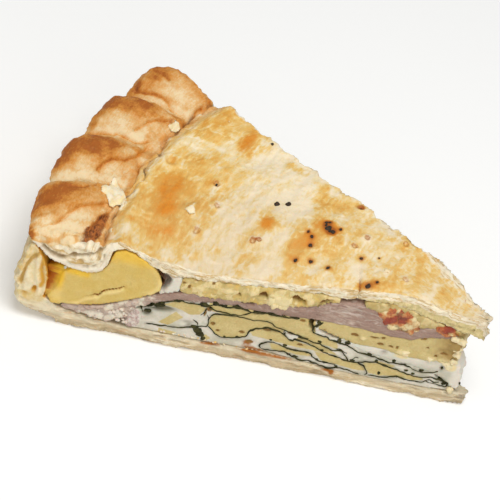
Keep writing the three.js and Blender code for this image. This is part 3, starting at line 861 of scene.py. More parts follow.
RIM_CREAM = (
    (-127, -45, 4, 2.6, 0.8), (-122, -40, 3.6, 3.6, 0.9), (-121.4, -34.5, 2.6, 3, 0.5),
    (-131, -15.5, 3.4, 3.6, 0.6), (-126, -19, 3, 2.6, 0.4), (-132, -23, 3.6, 3, 0.6),
    (-131, 9, 4.6, 2.4, 0.8), (-125, 9.4, 3, 1.5, 0.8), (-124.2, 12.5, 1.6, 2.6, 0.7),
    (-124, 33, 5, 2.2, 0.65), (-128, 31, 3, 1, 0.5), (-123.6, 3, 1.8, 4, 0.5), (-118.6, 0.8, 1.6, 3.4, 0.9),
    (-124.2, -2.4, 1.4, 3.2, 0.5), (-124.6, -13, 1.6, 2.6, 0.5), (-116, -6.6, 0.8, 2.4, 0.8),
    (-122, 26, 1.6, 3, 0.3), (-124, 7.2, 3, 2.6, 0.5),
)
# Creases of the rope: line, half width, depth, how far the left side stands above the right, and how much
# darker it is painted along the crease, as browning and painted shade
CREASES = (
    ([(-127.2, -13.5), (-126.6, -10.5), (-125.4, -7.5), (-123.6, -5.4), (-122.2, -4), (-121.2, -1.5),
      (-120.5, 1), (-120.8, 4), (-120.4, 7.5)], 0.42, 0.7, 0.55, 0.55),
    ([(-125.5, -40.5), (-124.5, -37), (-123.5, -33.5), (-122, -31), (-120, -28.2), (-118.6, -25.5)], 0.42,
     0.6, 0.6, 0.4),
    ([(-126.4, 10.2), (-125.4, 12), (-124.4, 15), (-122.5, 18), (-120.5, 20), (-119.4, 21.8)], 0.38, 0.6,
     0.5, 0.45),
    ([(-137, 2.8), (-134, 4.2), (-131.5, 5.2), (-130, 6.5), (-127, 7), (-124, 7.3), (-122.5, 8.2),
      (-121.3, 9.8)], 0.45, 0.5, 0, 0.6),
    ([(-134.8, 28), (-132, 28.2), (-129, 29.2), (-126, 29.6), (-123.5, 29), (-121, 27.6)], 0.6, 0.5, 0, 0.6),
    ([(-127.5, -45.2), (-126, -43), (-125.4, -40.5)], 0.35, 0.4, 0.2, 0.5),
    ([(-118.8, -0.5), (-117.6, -4), (-116.6, -8), (-115.8, -12), (-115.4, -16)], 0.45, 0.6, 0.3, 0.45),
    ([(-116.2, -25), (-116.5, -29), (-117.2, -33), (-117.4, -39.5)], 0.4, 0.6, 0.3, 0.5),
    ([(-115.2, 30), (-115.5, 32.5), (-114.6, 35.5)], 0.45, 0.6, 0, 0.7),
    ([(-129.5, -28.6), (-126, -26), (-124.4, -22), (-123.4, -18)], 0.5, 0.4, 0, 0.45),
    ([(-133, 36.2), (-130.4, 36), (-127, 34.6)], 0.4, 0.3, 0.2, 0.4),
)
# The burnt wedge beside the rope, seen from above
BURNT_WEDGE = [
    (-116.2, -26), (-117.6, -31), (-118.2, -38), (-117, -43.4), (-113.2, -42.4), (-113.8, -36), (-115, -30),
]
# How far out the crack between lid and rope runs at each turn
CRACK_TURN = (-20, -16.3, -11, -7, -4, 0, 2.5, 6, 13.5, 17, 20)
CRACK_OUT = (118.6, 118, 117, 115.6, 114.6, 116.6, 115.8, 117.4, 118.6, 119.6, 119.4)
# Underside of the rope and top of the lid at the near cut: distance out and height
RIM_UNDERSIDE = [
    (138.6, 31), (136, 28.2), (133.6, 25.8), (128, 23.4), (121, 22.6), (116.6, 24.4), (115.4, 28),
    (115.2, 31.6), (113.2, 33.6), (109, 33.2), (103, 29.4), (97, 26.9),
]
LID_OUT = (4.6, 14, 27, 36, 45, 62, 81, 92, 101, 108, 113.6, 116.6, 118)
LID_TOP = (34.2, 35.2, 37.7, 37.4, 35.9, 33.4, 31.2, 30.9, 32.4, 34.2, 36.2, 35.4, 33.2)
# Gaps between the layers of the rope's cut end: line by the distance out and the height, half width and depth
END_GAPS = (
    ([(134.7, 29), (131.7, 26.8), (129.6, 26.2), (125.6, 27.7), (122.2, 28.8), (119.1, 30.4), (118.4, 32)],
     0.7, 1.3),
    ([(129.9, 26.4), (126, 24.8), (122.6, 24.2), (119.4, 25.1), (117.1, 27.8), (117.2, 30.8)], 0.45, 0.6),
)
# How far down the skin reaches over the rope's cut end
END_OUT = (114, 118.4, 120.2, 123, 126, 129.2, 133.8, 138.1, 141)
END_SKIN = (36.4, 35.4, 33.4, 32.8, 31.6, 30.8, 29.2, 30.7, 30)
# Blisters that broke into rings, and charred specks: out, turn and half width
RINGS = (
    (94.6, 0.8, 1.2), (90.9, -4.2, 1.2), (93.4, -11.5, 1.3), (56.5, 18.2, 1.3), (37.6, 15.4, 1.2),
    (47.5, 6.4, 1), (48.9, 0, 1.1), (76.8, -10, 1), (75.2, -9.4, 0.8), (110.4, 1.6, 2.2), (31, -7.8, 1.2),
)
SPECKS = (
    (75.9, 2.9, 1.25), (73.2, 4.5, 1.05), (60, 4.4, 0.75), (59.6, 3.2, 0.65), (58.5, 2.2, 1.25),
    (57.4, 1.3, 0.75), (56.7, 1.5, 0.85), (55.3, 4, 0.6), (63, -2, 0.6), (61.3, -3.3, 0.7), (60.6, -6, 0.8),
    (58.9, -11, 0.8), (63.3, -12, 0.75), (53.6, -12.2, 0.7), (45.4, -3.7, 0.7), (41.1, -17, 1.15),
    (38.8, -14.6, 0.6), (94.6, 0.9, 0.55), (93.2, 18.4, 0.65), (59.2, 4.9, 0.5), (40.9, 0, 0.35),
    (56.5, 18.2, 0.55),
)


class LidForm:
    """The lid's regions, worked out before its relief moves them."""

    SLIT = [(45.4, 11.5), (44.4, 6.5), (43.6, 4), (43.4, 1.5), (43.2, -0.5)]

    def __init__(self, skin):
        at = skin.at
        self.sheet = smooth(0.1, 0.4, skin.faces_up) * smooth(117.5, 115.5, at.out)
        outer_face = skin.faces_up + 0.6 * np.clip(skin.faces_out, 0, 1)
        self.rope = smooth(115, 118, at.out) * smooth(-0.35, 0.1, outer_face) * (1 - skin.cut)
        self.rope_end = skin.cut * smooth(114.5, 117.5, at.out)
        on_rope = smooth(112, 117, at.out)
        depth = np.interp(at.out, LID_OUT, LID_TOP) - at.flat
        self.layer = depth * (1 - on_rope) + line_gap(at.out, at.flat, RIM_UNDERSIDE) * on_rope
        self.share = at.fold()
        wander = np.interp(at.turn, CRACK_TURN, CRACK_OUT)
        wander = wander + 0.5 * ripple(at.sheet * (0, 0.3, 0), 41) + 0.3 * ripple(at.sheet * (0, 0.9, 0), 42)
        beyond = at.out - wander
        up = smooth(-0.1, 0.35, skin.faces_up)
        self.crack = hump(beyond, 0.5 + 0.25 * ripple(at.sheet * (0, 0.25, 0), 45)) * up
        self.torn = hump(beyond + 1.1, 0.7) * np.clip(ripple(at.sheet * (0.6, 0.6, 0), 43), 0, 1) * up
        slit = hump(line_gap(at.out, at.near, self.SLIT), 0.4) * smooth(30.5, 32.5, at.flat)
        self.slit = slit * (0.35 + 0.65 * smooth(7, 3, at.near))
        self.terrace, self.peel_edge = stepped(cloud(at.plan * (0.16, 0.1, 0), 14, 4) * 3.2)
        self.creases = [(*line_side(at.plan[:, 0], at.plan[:, 1], line), *rest) for line, *rest in CREASES]


def shape_lid(skin, form, sizes):
    """Blisters, peeling sheets, rope creases, the crack and flaky cuts."""
    at = skin.at
    blister = sizes.blister_height / MM
    height = form.sheet * (
        0.4 * cloud(at.plan * (0.08, 0.06, 0), 11) + 0.2 * form.terrace
        + 0.13 * ridged(at.plan * (0.5, 0.12, 0), 12) + 0.08 * ripple(at.plan * (1, 0.9, 0), 13)
    )
    for out, turn, half in RINGS:
        gap = at.apart(out, turn, half, half)
        height += form.sheet * blister * (hump(gap - 1, 0.42) - 1.3 * hump(gap, 0.55))
    for out, turn, half in SPECKS:
        height -= form.sheet * 0.3 * blister * hump(at.apart(out, turn, half, half), 1.2)
    bubbles, own = crumble(at.plan * (0.17, 0.15, 0) + (0, 0, 0.5), 21)
    height += form.sheet * 0.6 * blister * smooth(0.5, 0.1, bubbles) * (own > 0.45)
    wrinkles = 0.2 * ridged(columns(5 * form.share, 0.08 * at.out, 0), 37)
    wrinkles += 0.22 * ridged(at.sheet * (0.12, 0.5, 0.1), 33)
    wrinkles += 0.1 * ridged(at.solid * (0.5, 0.7, 0.5), 34)
    wrinkles += 0.14 * ridged(at.solid * (0.3, 0.3, 0.45), 36)
    height += form.rope * (0.45 * cloud(at.solid * 0.16, 31) + 0.1 * ripple(at.solid * 0.9, 32) + wrinkles)
    height -= 0.5 * form.rope * hump(form.share - FOLD_DROP, 0.06)
    for gap, side, half, depth, step, _ in form.creases:
        reach = smooth(5, 0.6, gap) * smooth(0, 0.5, gap)
        height += form.rope * (0.7 * step * side * reach - 1.5 * depth * hump(gap, half))
    height += 0.8 * form.torn - 1.3 * form.slit
    skin.push(height * (1 - 0.65 * skin.cut))
    fall = form.crack * sizes.crack_depth / MM * (0.75 + 0.4 * ripple(at.sheet * (0, 0.4, 0), 44))
    skin.push(-fall, UP)
    flaky = sizes.flake_depth / MM
    lines = columns(at.out * 0.14, at.turn * 0.2, form.layer * 0.8)
    layers = cloud(lines, 51) + 0.6 * ridged(lines * (2.5, 1, 1.3), 52)
    layers = layers + 0.5 * ripple(at.sheet * (0.6, 0.6, 0.9), 54) - 0.35
    skin.push((skin.cut - form.rope_end) * flaky * layers)
    form.lip = form.rope_end * smooth(1.9, 1.3, form.layer)
    gaps = sum(depth * hump(line_gap(at.out, at.flat, line), half) for line, half, depth in END_GAPS)
    pockets, _ = crumble(columns(at.out * 0.4, at.turn * 0.3, form.layer * 0.6), 53)
    crags = cloud(at.solid * 0.5, 47) + 0.8 * ridged(at.solid * (0.45, 0.45, 0.8), 48)
    crags = crags + 0.4 * ripple(at.solid * 1.4, 49) + 0.6 * (0.5 - pockets)
    crags = crags * (1 - 0.8 * form.lip)
    # Painted shade in the gaps between the rope end's layers, less on the crags
    form.hollow = form.rope_end * np.clip(0.75 * gaps - 0.3 * crags + 0.05, 0, 1)
    skin.push(form.rope_end * (0.4 * form.lip + 1.3 * flaky * crags - gaps))
    rolled = smooth(31, 37.5, at.flat) * smooth(113, 119, at.out) * smooth(4.5, 0, at.ends)
    skin.push(2.6 * rolled, skin.inward)
    ragged = cloud(at.sheet * (0.32, 0.32, 0.5), 55) + 0.7 * ridged(at.sheet * (0.9, 0.9, 0.8), 56)
    before_rope = smooth(112, 108, at.out)
    chips = 1.1 * cloud(at.sheet * (0.22, 0.22, 0.2), 99, 2) + 0.5 * ripple(at.sheet * (0.8, 0.8, 0.5), 105)
    ragged = 0.3 * ragged + np.where(at.near < at.far, 0, chips - 2.8 * hump(at.out - 21, 8))
    skin.push(smooth(3, 0.3, at.ends) * before_rope * (ragged + 0.1), skin.inward)
    hanging = smooth(2.2, 0.4, at.ends) * smooth(1.4, 2.6, form.layer) * before_rope
    skin.push(hanging * 0.8 * cloud(at.sheet * (0.35, 0.3, 0), 50), UP)
    tip = smooth(16, 6, at.out)
    skin.push(tip * 0.8 * (ripple(at.solid * 0.5, 57) + 0.5 * ridged(at.solid * 0.9, 58)), -skin.outwards)
    edge = smooth(2.5, 0.4, at.ends) * smooth(0.3, 0.8, skin.faces_up)
    skin.push(-edge * 0.4 * np.clip(ripple(at.sheet * (0.7, 0.7, 0.5), 59), 0, 1))


def paint_lid(skin, form):
    """Where the lid is cream, golden, amber, baked brown, burnt or a pale flaky layer."""
    at = skin.at
    wobble = 1.6 * ripple(at.plan * (0, 0.11, 0), 60) + 0.9 * ripple(at.plan * (0.1, 0.4, 0), 65)
    gold = np.interp(at.plan[:, 0] + wobble, GOLD_ALONG, GOLD_LEVEL)
    gold = gold + 0.22 * cloud(at.plan * (0.16, 0.09, 0), 61) + 0.22 * cloud(at.plan * (0.5, 0.16, 0), 62)
    patchy = smooth(-0.3, 0.5, ripple(at.plan * (0.2, 0.2, 0), 67))
    gold = gold + 0.26 * ridged(at.plan * (1.3, 0.35, 0), 66) * patchy
    bend = columns(ripple(at.plan * 0.35, 68), ripple(at.plan * 0.35, 69), 0)
    wisps = smooth(0.72, 0.96, ridged(at.plan * (0.3, 0.2, 0) + 0.35 * bend, 70))
    wisps = wisps * smooth(-0.2, 0.5, ripple(at.plan * (0.12, 0.12, 0), 67))
    gold = gold + at.patches(GOLDEN_PATCHES) - at.patches(CREAM_PATCHES) - 0.4 * wisps
    peeling = form.peel_edge * smooth(-0.2, 0.4, ripple(at.plan * (0.3, 0.3, 0), 63))
    gold = gold - 0.3 * peeling + 0.06 * form.terrace
    # Painted shade on the lid towards the near cut, strongest about 86 mm out
    dull = form.sheet * smooth(48, 12, at.near) * (0.35 + 0.65 * hump(at.out - 86, 26))
    amber = at.patches(AMBER_PATCHES) * (1.15 + 0.6 * cloud(at.plan * (0.3, 0.2, 0), 64)) - 0.05
    toast = np.zeros(len(at.out))
    uneven = 0.3 * ripple(at.plan * 0.8, 100)
    for out, turn, half in RINGS:
        gap = at.apart(out, turn, half, half) + uneven
        toast += 0.6 / half * hump(gap - 0.7, 0.34) + 0.3 / half * hump(gap, 0.7)
        gold -= 0.12 * hump(gap - 1.4, 0.35)
    for out, turn, half in SPECKS:
        glow = smooth(72, 66, out)
        amber += 0.7 * glow * hump(at.apart(out, turn, half * 2.4, half * 2.4), 1)
        toast += 0.9 * glow * hump(at.apart(out, turn, half * 1.4, half * 1.7), 1)
    amber, toast = form.sheet * amber, form.sheet * toast
    end_skin = form.rope_end * smooth(-0.6, 0.8, at.flat - np.interp(at.out, END_OUT, END_SKIN)
                                      + 0.8 * ripple(at.sheet * (0.45, 0.4, 0.4), 76))
    rim = np.maximum(form.rope, end_skin)
    crest = smooth(0.62, 0.98, form.share) + smooth(0.3, 0.1, form.share)
    along_fold = columns(6 * form.share, 0.1 * at.out, 0)
    bake = 0.26 + 0.22 * cloud(at.solid * 0.18, 71) + 0.2 * cloud(at.solid * 0.5, 74) + 0.32 * crest
    bake = bake + 0.3 * cloud(along_fold, 38) * form.rope
    bake = bake + 0.72 * at.patches(RIM_BROWN) - 0.36 * at.patches(RIM_CREAM)
    # Darker along the drop into each crease: browning and painted shade
    bake = bake + 0.2 * hump(form.share - FOLD_DROP, 0.05)
    streaks = smooth(0.45, 0.85, ridged(at.sheet * (0.25, 0.3, 0.5), 77))
    bake = bake + end_skin * (0.5 * streaks + 0.6 * smooth(136, 139.5, at.out) - 0.3)
    amber = amber + form.rope * at.patches(RIM_ORANGE) * (1 + 0.4 * cloud(at.solid * 0.4, 78))
    # Each crease painted darker and more orange: browning and painted shade
    for gap, _, half, _, _, tint in form.creases:
        bake = bake + 0.8 * tint * hump(gap, half * 0.6) + 0.12 * tint * hump(gap, half * 2.4)
        amber = amber + form.rope * 0.25 * tint * hump(gap, half * 1.4)
    uneven = 0.5 * ripple(at.solid * 0.7, 98)
    wedge = inside(at.plan[:, 0] + uneven, at.plan[:, 1] - uneven, BURNT_WEDGE, 0.9) * smooth(24, 27, at.flat)
    amber = np.maximum(amber, 0.9 * wedge)
    burnt = wedge * (1 + 0.4 * ripple(at.solid * 0.6, 75)) * (1 - 0.25 * form.rope_end)
    char = np.max([form.rope * at.patches(RIM_DARK), burnt, 0.75 * form.slit], axis=0)
    under = smooth(-0.25, -0.6, skin.faces_up) * smooth(136, 132, at.out)
    edge_crumbs = smooth(1.5, 0.2, at.ends) * (0.35 + 0.5 * ripple(at.sheet * (0.5, 0.5, 0.4), 72))
    far_crumbs = smooth(2.6, 0.4, at.far) * (0.35 + 0.8 * ripple(at.sheet * (0.4, 0.4, 0.4), 72))
    border = at.far + 0.8 * ripple(at.plan * 0.4, 97) + 0.2 * np.abs(at.out - 23)
    crumbly = np.max([edge_crumbs, far_crumbs, 1.2 * smooth(3.4, 1.8, border)], axis=0)
    crumbly = 0.8 * crumbly * (1 - smooth(112, 116, at.out))
    tip = smooth(9, 6, at.out + 1.4 * ripple(at.sheet * 0.6, 73))
    torn = smooth(0.2, 0.5, form.torn)
    pale = np.max([skin.cut * (1 - end_skin), torn, under, crumbly, tip], axis=0)
    below = form.layer - 0.9 * smooth(26, 12, at.out) + 0.5 * ripple(at.sheet * (0.5, 0.4, 0), 46)
    eggy = skin.cut * smooth(46, 36, at.out) * smooth(1.7, 2.6, below)
    # Painted shade along the crack, uneven along it
    crack = form.crack * (0.55 + 0.6 * ripple(at.sheet * (0, 0.5, 0), 79))
    skin.paint(gold=gold, amber=amber, toast=toast, char=char, pale=pale, rim=rim, bake=bake, eggy=eggy,
               hollow=form.hollow, dull=dull, lip=form.lip, crack=crack)
    skin.note(layer=form.layer * (1 - 0.5 * form.rope_end))


class PieOperator:
    """What the pie's operators share."""

    bl_options = {"REGISTER", "UNDO"}


class PIE_OT_stage(PieOperator, bpy.types.Operator):
    """Lay the floor, hang the lights and set the camera at the photograph's angle"""

    bl_idname = "pie.stage"
    bl_label = "Stage"

    TARGET = (-79.163, 0.878, 19.429)
    AZIMUTH, ELEVATION, ROLL = 13.605, 40.349, 15.85
    DISTANCE = 661.47
    VIEW_ANGLE = 13.0
    FLOOR_SIZE = 4.0
    FLOOR_GAP = 0.0002
    FLOOR_GLOW = 0.13
    PLAIN_WHITE = (1.0, 1.0, 1.0, 1.0)
    # Place and width of each light
    MAIN_LIGHT = (0.18, -0.26, 0.9), 0.5
    SIDE_LIGHT = (0.45, -0.65, 0.4), 0.6
    LIGHTS_MEET = (0, 0, 0.02)

    def execute(self, context):
        settings = context.scene.pie_stage
        context.scene.view_settings.view_transform = "Standard"
        shape = bmesh.new()
        bmesh.ops.create_grid(shape, x_segments=8, y_segments=8, size=self.FLOOR_SIZE / 2)
        mesh = bpy.data.meshes.new("floor")
        shape.to_mesh(mesh)
        shape.free()
        floor = bpy.data.objects.new("floor", mesh)
        floor.location.z = -self.FLOOR_GAP
        context.scene.collection.objects.link(floor)
        f = Finish("pale_floor", 0.1)
        f.set("Emission Color", self.PLAIN_WHITE)
        f.set("Emission Strength", self.FLOOR_GLOW)
        tone = f.node("TexNoise", None, {"Scale": 3, "Detail": 2})
        shade = tuple(0.985 * c for c in settings.floor)
        mesh.materials.append(f.bake(f.blend(tone, settings.floor, shade), 0.85, tone, 0.01))
        self.light(context, "main_light", *self.MAIN_LIGHT, settings.key_power)
        self.light(context, "side_light", *self.SIDE_LIGHT, settings.side_power)
        world = context.scene.world or bpy.data.worlds.new("room")
        context.scene.world = world
        world.use_nodes = True
        background = world.node_tree.nodes["Background"]
        background.inputs["Color"].default_value = self.PLAIN_WHITE
        background.inputs["Strength"].default_value = settings.sky
        self.camera(context)
        return {"FINISHED"}

    def light(self, context, name, place, size, power):
        data = bpy.data.lights.new(name, "AREA")
        data.size = size
        data.energy = power
        lamp = bpy.data.objects.new(name, data)
        lamp.location = place
        lamp.rotation_mode = "QUATERNION"
        lamp.rotation_quaternion = (Vector(self.LIGHTS_MEET) - Vector(place)).to_track_quat("-Z", "Y")
        context.scene.collection.objects.link(lamp)

    def camera(self, context):
        data = bpy.data.cameras.new("camera")
        data.sensor_width = 36.0
        data.lens = data.sensor_width / 2 / math.tan(math.radians(self.VIEW_ANGLE / 2))
        camera = bpy.data.objects.new("camera", data)
        turn, rise = math.radians(self.AZIMUTH), math.radians(self.ELEVATION)
        back = Vector((math.sin(turn) * math.cos(rise), -math.cos(turn) * math.cos(rise), math.sin(rise)))
        target = Vector((self.TARGET[0] + APEX_X, self.TARGET[1], self.TARGET[2])) * MM
        camera.location = target + back * self.DISTANCE * MM
        camera.rotation_mode = "QUATERNION"
        roll = Quaternion((0.0, 0.0, 1.0), math.radians(self.ROLL))
        camera.rotation_quaternion = (-back).to_track_quat("-Z", "Y") @ roll
        data.clip_start, data.clip_end = 0.01, 20.0
        context.scene.collection.objects.link(camera)
        context.scene.camera = camera


class PIE_OT_lid(PieOperator, bpy.types.Operator):
    """Bake the pastry lid with its rope rim"""

    bl_idname = "pie.lid"
    bl_label = "Pastry lid"

    def execute(self, context):
        sizes, colours = asked(context)
        skin = Skin("lid", ["lid_crust"], sizes.pastry_grain)
        skin.relax(7)
        form = LidForm(skin)
        shape_lid(skin, form, sizes)
        paint_lid(skin, form)
        skin.done(lid_finish(colours), "lid_pastry")
        return {"FINISHED"}


class PIE_OT_base(PieOperator, bpy.types.Operator):
    """Bake the pastry base with its puffed wall"""

    bl_idname = "pie.base"
    bl_label = "Pastry base"

    # On the cut, by distance out and height: patches with half widths and strength, lines with half width
    # and depth
    STAINS = (
        (62, 4.6, 8, 1, 0.9), (69, 4.9, 3.6, 1.1, 1), (81, 4.6, 3.2, 0.8, 1.1), (45.5, 3.4, 2.6, 0.7, 1),
        (43.9, 2.4, 0.8, 1.3, 1), (83, 4.3, 4, 0.5, 0.4), (134.5, 5.6, 4, 0.3, 0.6), (110, 3, 3, 0.3, 0.5),
    )
    GROOVES = (
        ([(135.6, 26), (136.5, 24.7), (137.9, 22.1), (138.9, 19.8), (139.6, 16.8), (139.9, 13.7)], 0.8, 0.9),
        ([(139.6, 11.8), (137.6, 12.6), (135.8, 13.4)], 0.4, 0.4),
        ([(134, 24), (134.2, 20), (133.4, 17.4), (132.9, 15.4), (133.4, 13.4)], 0.75, 0.5),
        ([(139.5, 7.6), (135, 6.4), (130, 6.2)], 0.4, 0.5),
    )
    RIDGES = (
        ([(136.1, 28), (135.7, 25), (135.4, 21), (135.3, 18.5), (134.4, 15.8)], 0.6, 0.9),
        ([(134.3, 25.3), (133.6, 22), (132.3, 19.3), (131.8, 16.5), (131.9, 13.4), (132.9, 9.9)], 0.45, 0.6),
        ([(139, 26), (140.2, 21.5), (140.6, 17)], 0.7, 0.5),
    )
    HOLLOWS = ((135.1, 11.7, 0.75, 1.3, 2), (137.7, 9.6, 1.5, 0.9, 1))
    PUFFS = ((137.3, 16, 2, 3.2, 1), (134.2, 10.4, 1.2, 1.8, 0.6), (138.4, 12.4, 1.2, 1.4, 0.5))

    def execute(self, context):
        sizes, colours = asked(context)
        skin = Skin("base", ["base_crust"], sizes.pastry_grain)
        skin.relax(4)
        at = skin.at
        wall = smooth(129.5, 132.5, at.out) * smooth(4.5, 7.5, at.flat)
        floor = smooth(-0.6, -0.85, skin.faces_up) * smooth(2.5, 1, at.high)
        outer = smooth(130.5, 133, at.out) * smooth(0.2, 0.6, skin.faces_out)
        top = smooth(0.4, 0.8, skin.faces_up)
        lines = columns(at.out * 0.1, at.turn * 0.2, at.flat * 0.9)
        layers = cloud(lines, 83) + 0.6 * ridged(lines * (2.5, 1, 1.4), 84)
        lumps = cloud(columns(at.out * 0.33, at.turn * 0.2, at.flat * 0.2), 85)
        sway = columns(*(ripple(at.sheet * 0.11, seed) for seed in (106, 107, 108)))
        out, along, up = (at.sheet + 5 * sway).T
        aslant = columns(out, along + 0.7 * up, up - 0.5 * along)
        crinkle = cloud(aslant * (0.1, 0.13, 0.07), 81)
        folds = ridged(aslant * (0.2, 0.28, 0.16), 90)
        skin.push(outer * (0.8 * crinkle + 0.3 * ridged(at.sheet * (0.5, 0.5, 0.25), 82) + 0.3 * folds))
        flaky = 1.5 * sizes.flake_depth / MM * (1 - wall)
        puffy = wall * (0.5 * lumps + 0.12 * ripple(at.solid * 0.8, 86))
        skin.push(skin.cut * (flaky * (layers - 0.2) + puffy))
        grooves = [(hump(line_gap(at.out, at.flat, line), half), depth) for line, half, depth in self.GROOVES]
        ridges = [(hump(line_gap(at.out, at.flat, line), half), rise) for line, half, rise in self.RIDGES]
        relief = sum(rise * mark for mark, rise in ridges) - sum(depth * mark for mark, depth in grooves)
        skin.push(skin.near_cut * (relief + at.cut_patches(self.PUFFS) - at.cut_patches(self.HOLLOWS)))
        rounded = wall * smooth(2.4, 0, at.near) * smooth(137.6, 140.4, at.out)
        skin.push(0.7 * rounded, -skin.outwards)
        bulges = 1.1 * cloud(at.solid * 0.35, 80) + 0.2 - 0.9 * hump(at.flat - 12.4, 0.9)
        skin.push(outer * smooth(8, 1, at.near) * bulges, skin.outwards)
        skin.push(top * 0.25 * cloud(at.sheet * (0.4, 0.4, 0), 87))
        foot = smooth(2.6, 0.6, at.high) * smooth(2.2, 0.4, at.ends)
        skin.push(foot * 0.7 * (0.6 + cloud(at.sheet * (0.25, 0.25, 0), 89)), skin.inward)
        skin.points[:, 2] = np.maximum(skin.points[:, 2], 0)
        skin.points[:, 2] *= np.where(floor > 0.5, 0.0, 1.0)
        stain = at.cut_patches(self.STAINS) * np.maximum(skin.cut, 0.6 * top)
        inner = smooth(-0.2, -0.6, skin.faces_out) * smooth(8, 10, at.flat) * smooth(130, 131, at.out)
        deep = skin.near_cut * (0.9 * grooves[2][0] + 0.65 * at.cut_patches(self.HOLLOWS))
        beside = hump(line_gap(at.out, at.flat, self.RIDGES[1][0]), 0.5)
        # Painted shade in the outer groove of the wall and beside the inner ridge
        olive = skin.near_cut * np.maximum(grooves[0][0], 0.5 * beside)
        toast = 0.5 + 0.35 * crinkle - 0.15 * folds + 0.3 * smooth(8, 24, at.flat)
        toast = outer * toast * smooth(-4, 5, at.near)
        toast = np.maximum(toast, skin.cut * wall * (0.34 + 0.6 * lumps - 0.8 * at.cut_patches(self.PUFFS)))
        toast = np.maximum(toast, floor * (0.5 + 0.4 * cloud(at.sheet * (0.08, 0.08, 0), 88)))
        damp = (1 - wall) * (0.3 + 0.45 * smooth(4.5, 1.5, at.flat))
        pale = skin.cut * (1 - wall) * (0.3 + 0.4 * np.clip(layers, 0, 1))
        puffed = np.maximum(wall * skin.cut, outer * smooth(9, 3, at.near))
        skin.paint(stain=stain, toast=toast, damp=damp, pale=pale, olive=olive, deep=deep, inner=inner,
                   wall=puffed)
        skin.note(layer=at.flat)
        skin.done(base_finish(colours), "base_pastry")
        return {"FINISHED"}


class PIE_OT_yolk(PieOperator, bpy.types.Operator):
    """Set the cut yolk with its crack"""

    bl_idname = "pie.yolk"
    bl_label = "Yolk"

    # Lines on the cut, by distance out and height
    CRACK = [
        (109.4, 19.2), (111.9, 18.4), (113.8, 17.7), (115.1, 16.9), (115.7, 16), (116.4, 14.8),
        (117.6, 14.4), (118.3, 13.7), (119.6, 13.1), (121.2, 12.1), (122.4, 11), (124.1, 9.9),
    ]
    RIM = [(99.6, 24.5), (99.8, 22.6), (100.5, 20.8), (102, 19.2)]
    UPPER_EDGE = [(129.5, 22.6), (126, 21.8), (121, 21.4)]
    FACE_EDGE = ((11.9, 13.9, 15.9, 19.7, 23.2), (131.5, 130.1, 129.5, 129.4, 130.4))

    def execute(self, context):
        sizes, colours = asked(context)
        skin = Skin("yolk", ["yolk"], sizes.yolk_grain)
        skin.relax(4)
        skin.swell(1.25 * sizes.filling_swell)
        at = skin.at
        left = smooth(125, 128.5, at.out)
        skin.push(0.8 * left * smooth(13, 16, at.flat), -skin.outwards)
        low_left = smooth(122, 127, at.out) * smooth(14, 11, at.flat)
        skin.push(2.4 * low_left, skin.outwards)
        skin.push(-low_left, UP)
        behind = left * smooth(0.7, 1.4, at.near) * smooth(26, 20, at.near) * smooth(9.5, 12, at.flat)
        skin.push((4 + 2 * smooth(18, 22, at.flat)) * behind, skin.outwards)
        skin.read()
        at = skin.at
        wavy = at.flat + 0.3 * ripple(at.sheet * (0.5, 0, 0), 94) + 0.15 * ripple(at.sheet * (1.3, 0, 0), 95)
        gap = line_gap(at.out, wavy, self.CRACK)
        below = np.interp(at.out, *zip(*self.CRACK)) - wavy
        along = smooth(126, 122, at.out) * smooth(108.6, 110.4, at.out)
        fading = smooth(124, 117, at.out + 2 * ripple(at.sheet * (0.5, 0, 0), 96))
        crack = hump(gap, 0.26) * skin.near_cut * fading
        lip = smooth(0.1, 0.5, below) * smooth(2.6, 0.8, below) * along * skin.near_cut
        rim = hump(line_gap(at.out, at.flat, self.RIM), 0.8) * skin.near_cut
        relief = 0.2 * cloud(at.solid * 0.22, 91) + 0.12 * ripple(at.solid * 0.9, 92)
        skin.push(relief - 0.6 * crack + 0.45 * lip + 0.3 * rim)
        ragged = 0.35 * ripple(at.sheet * (0, 0.3, 0.5), 93)
        # The edge strip and the band under the rim are painted brighter, partly as painted light against
        # their shade
        strip = smooth(125.9, 128.3, at.out + ragged) * (0.4 + 0.6 * smooth(11, 19, at.flat))
        low = hump(at.cut_gap(128.2, 11.6, 2, 2.6), 1)
        upper = 0.6 * smooth(26, 31, at.flat) + 0.8 * hump(line_gap(at.out, at.flat, self.UPPER_EDGE), 1.4)
        # Painted shade in the recess between the yolk's face and the wall; less of it towards the top, as
        # painted light against the shade under the rim
        past_face = at.out + 0.5 * ragged - np.interp(at.flat, *self.FACE_EDGE)
        orange = smooth(-0.4, 0.3, past_face) * smooth(10.5, 12.5, at.flat)
        orange = orange * (1 - 0.45 * smooth(19, 23, at.flat))
        lip = np.max([lip, rim, 0.7 * low], axis=0)
        skin.paint(bright=np.maximum(strip, upper), orange=orange, lip=lip, crack=crack)
        skin.done(yolk_finish(colours), "yolk")
        return {"FINISHED"}


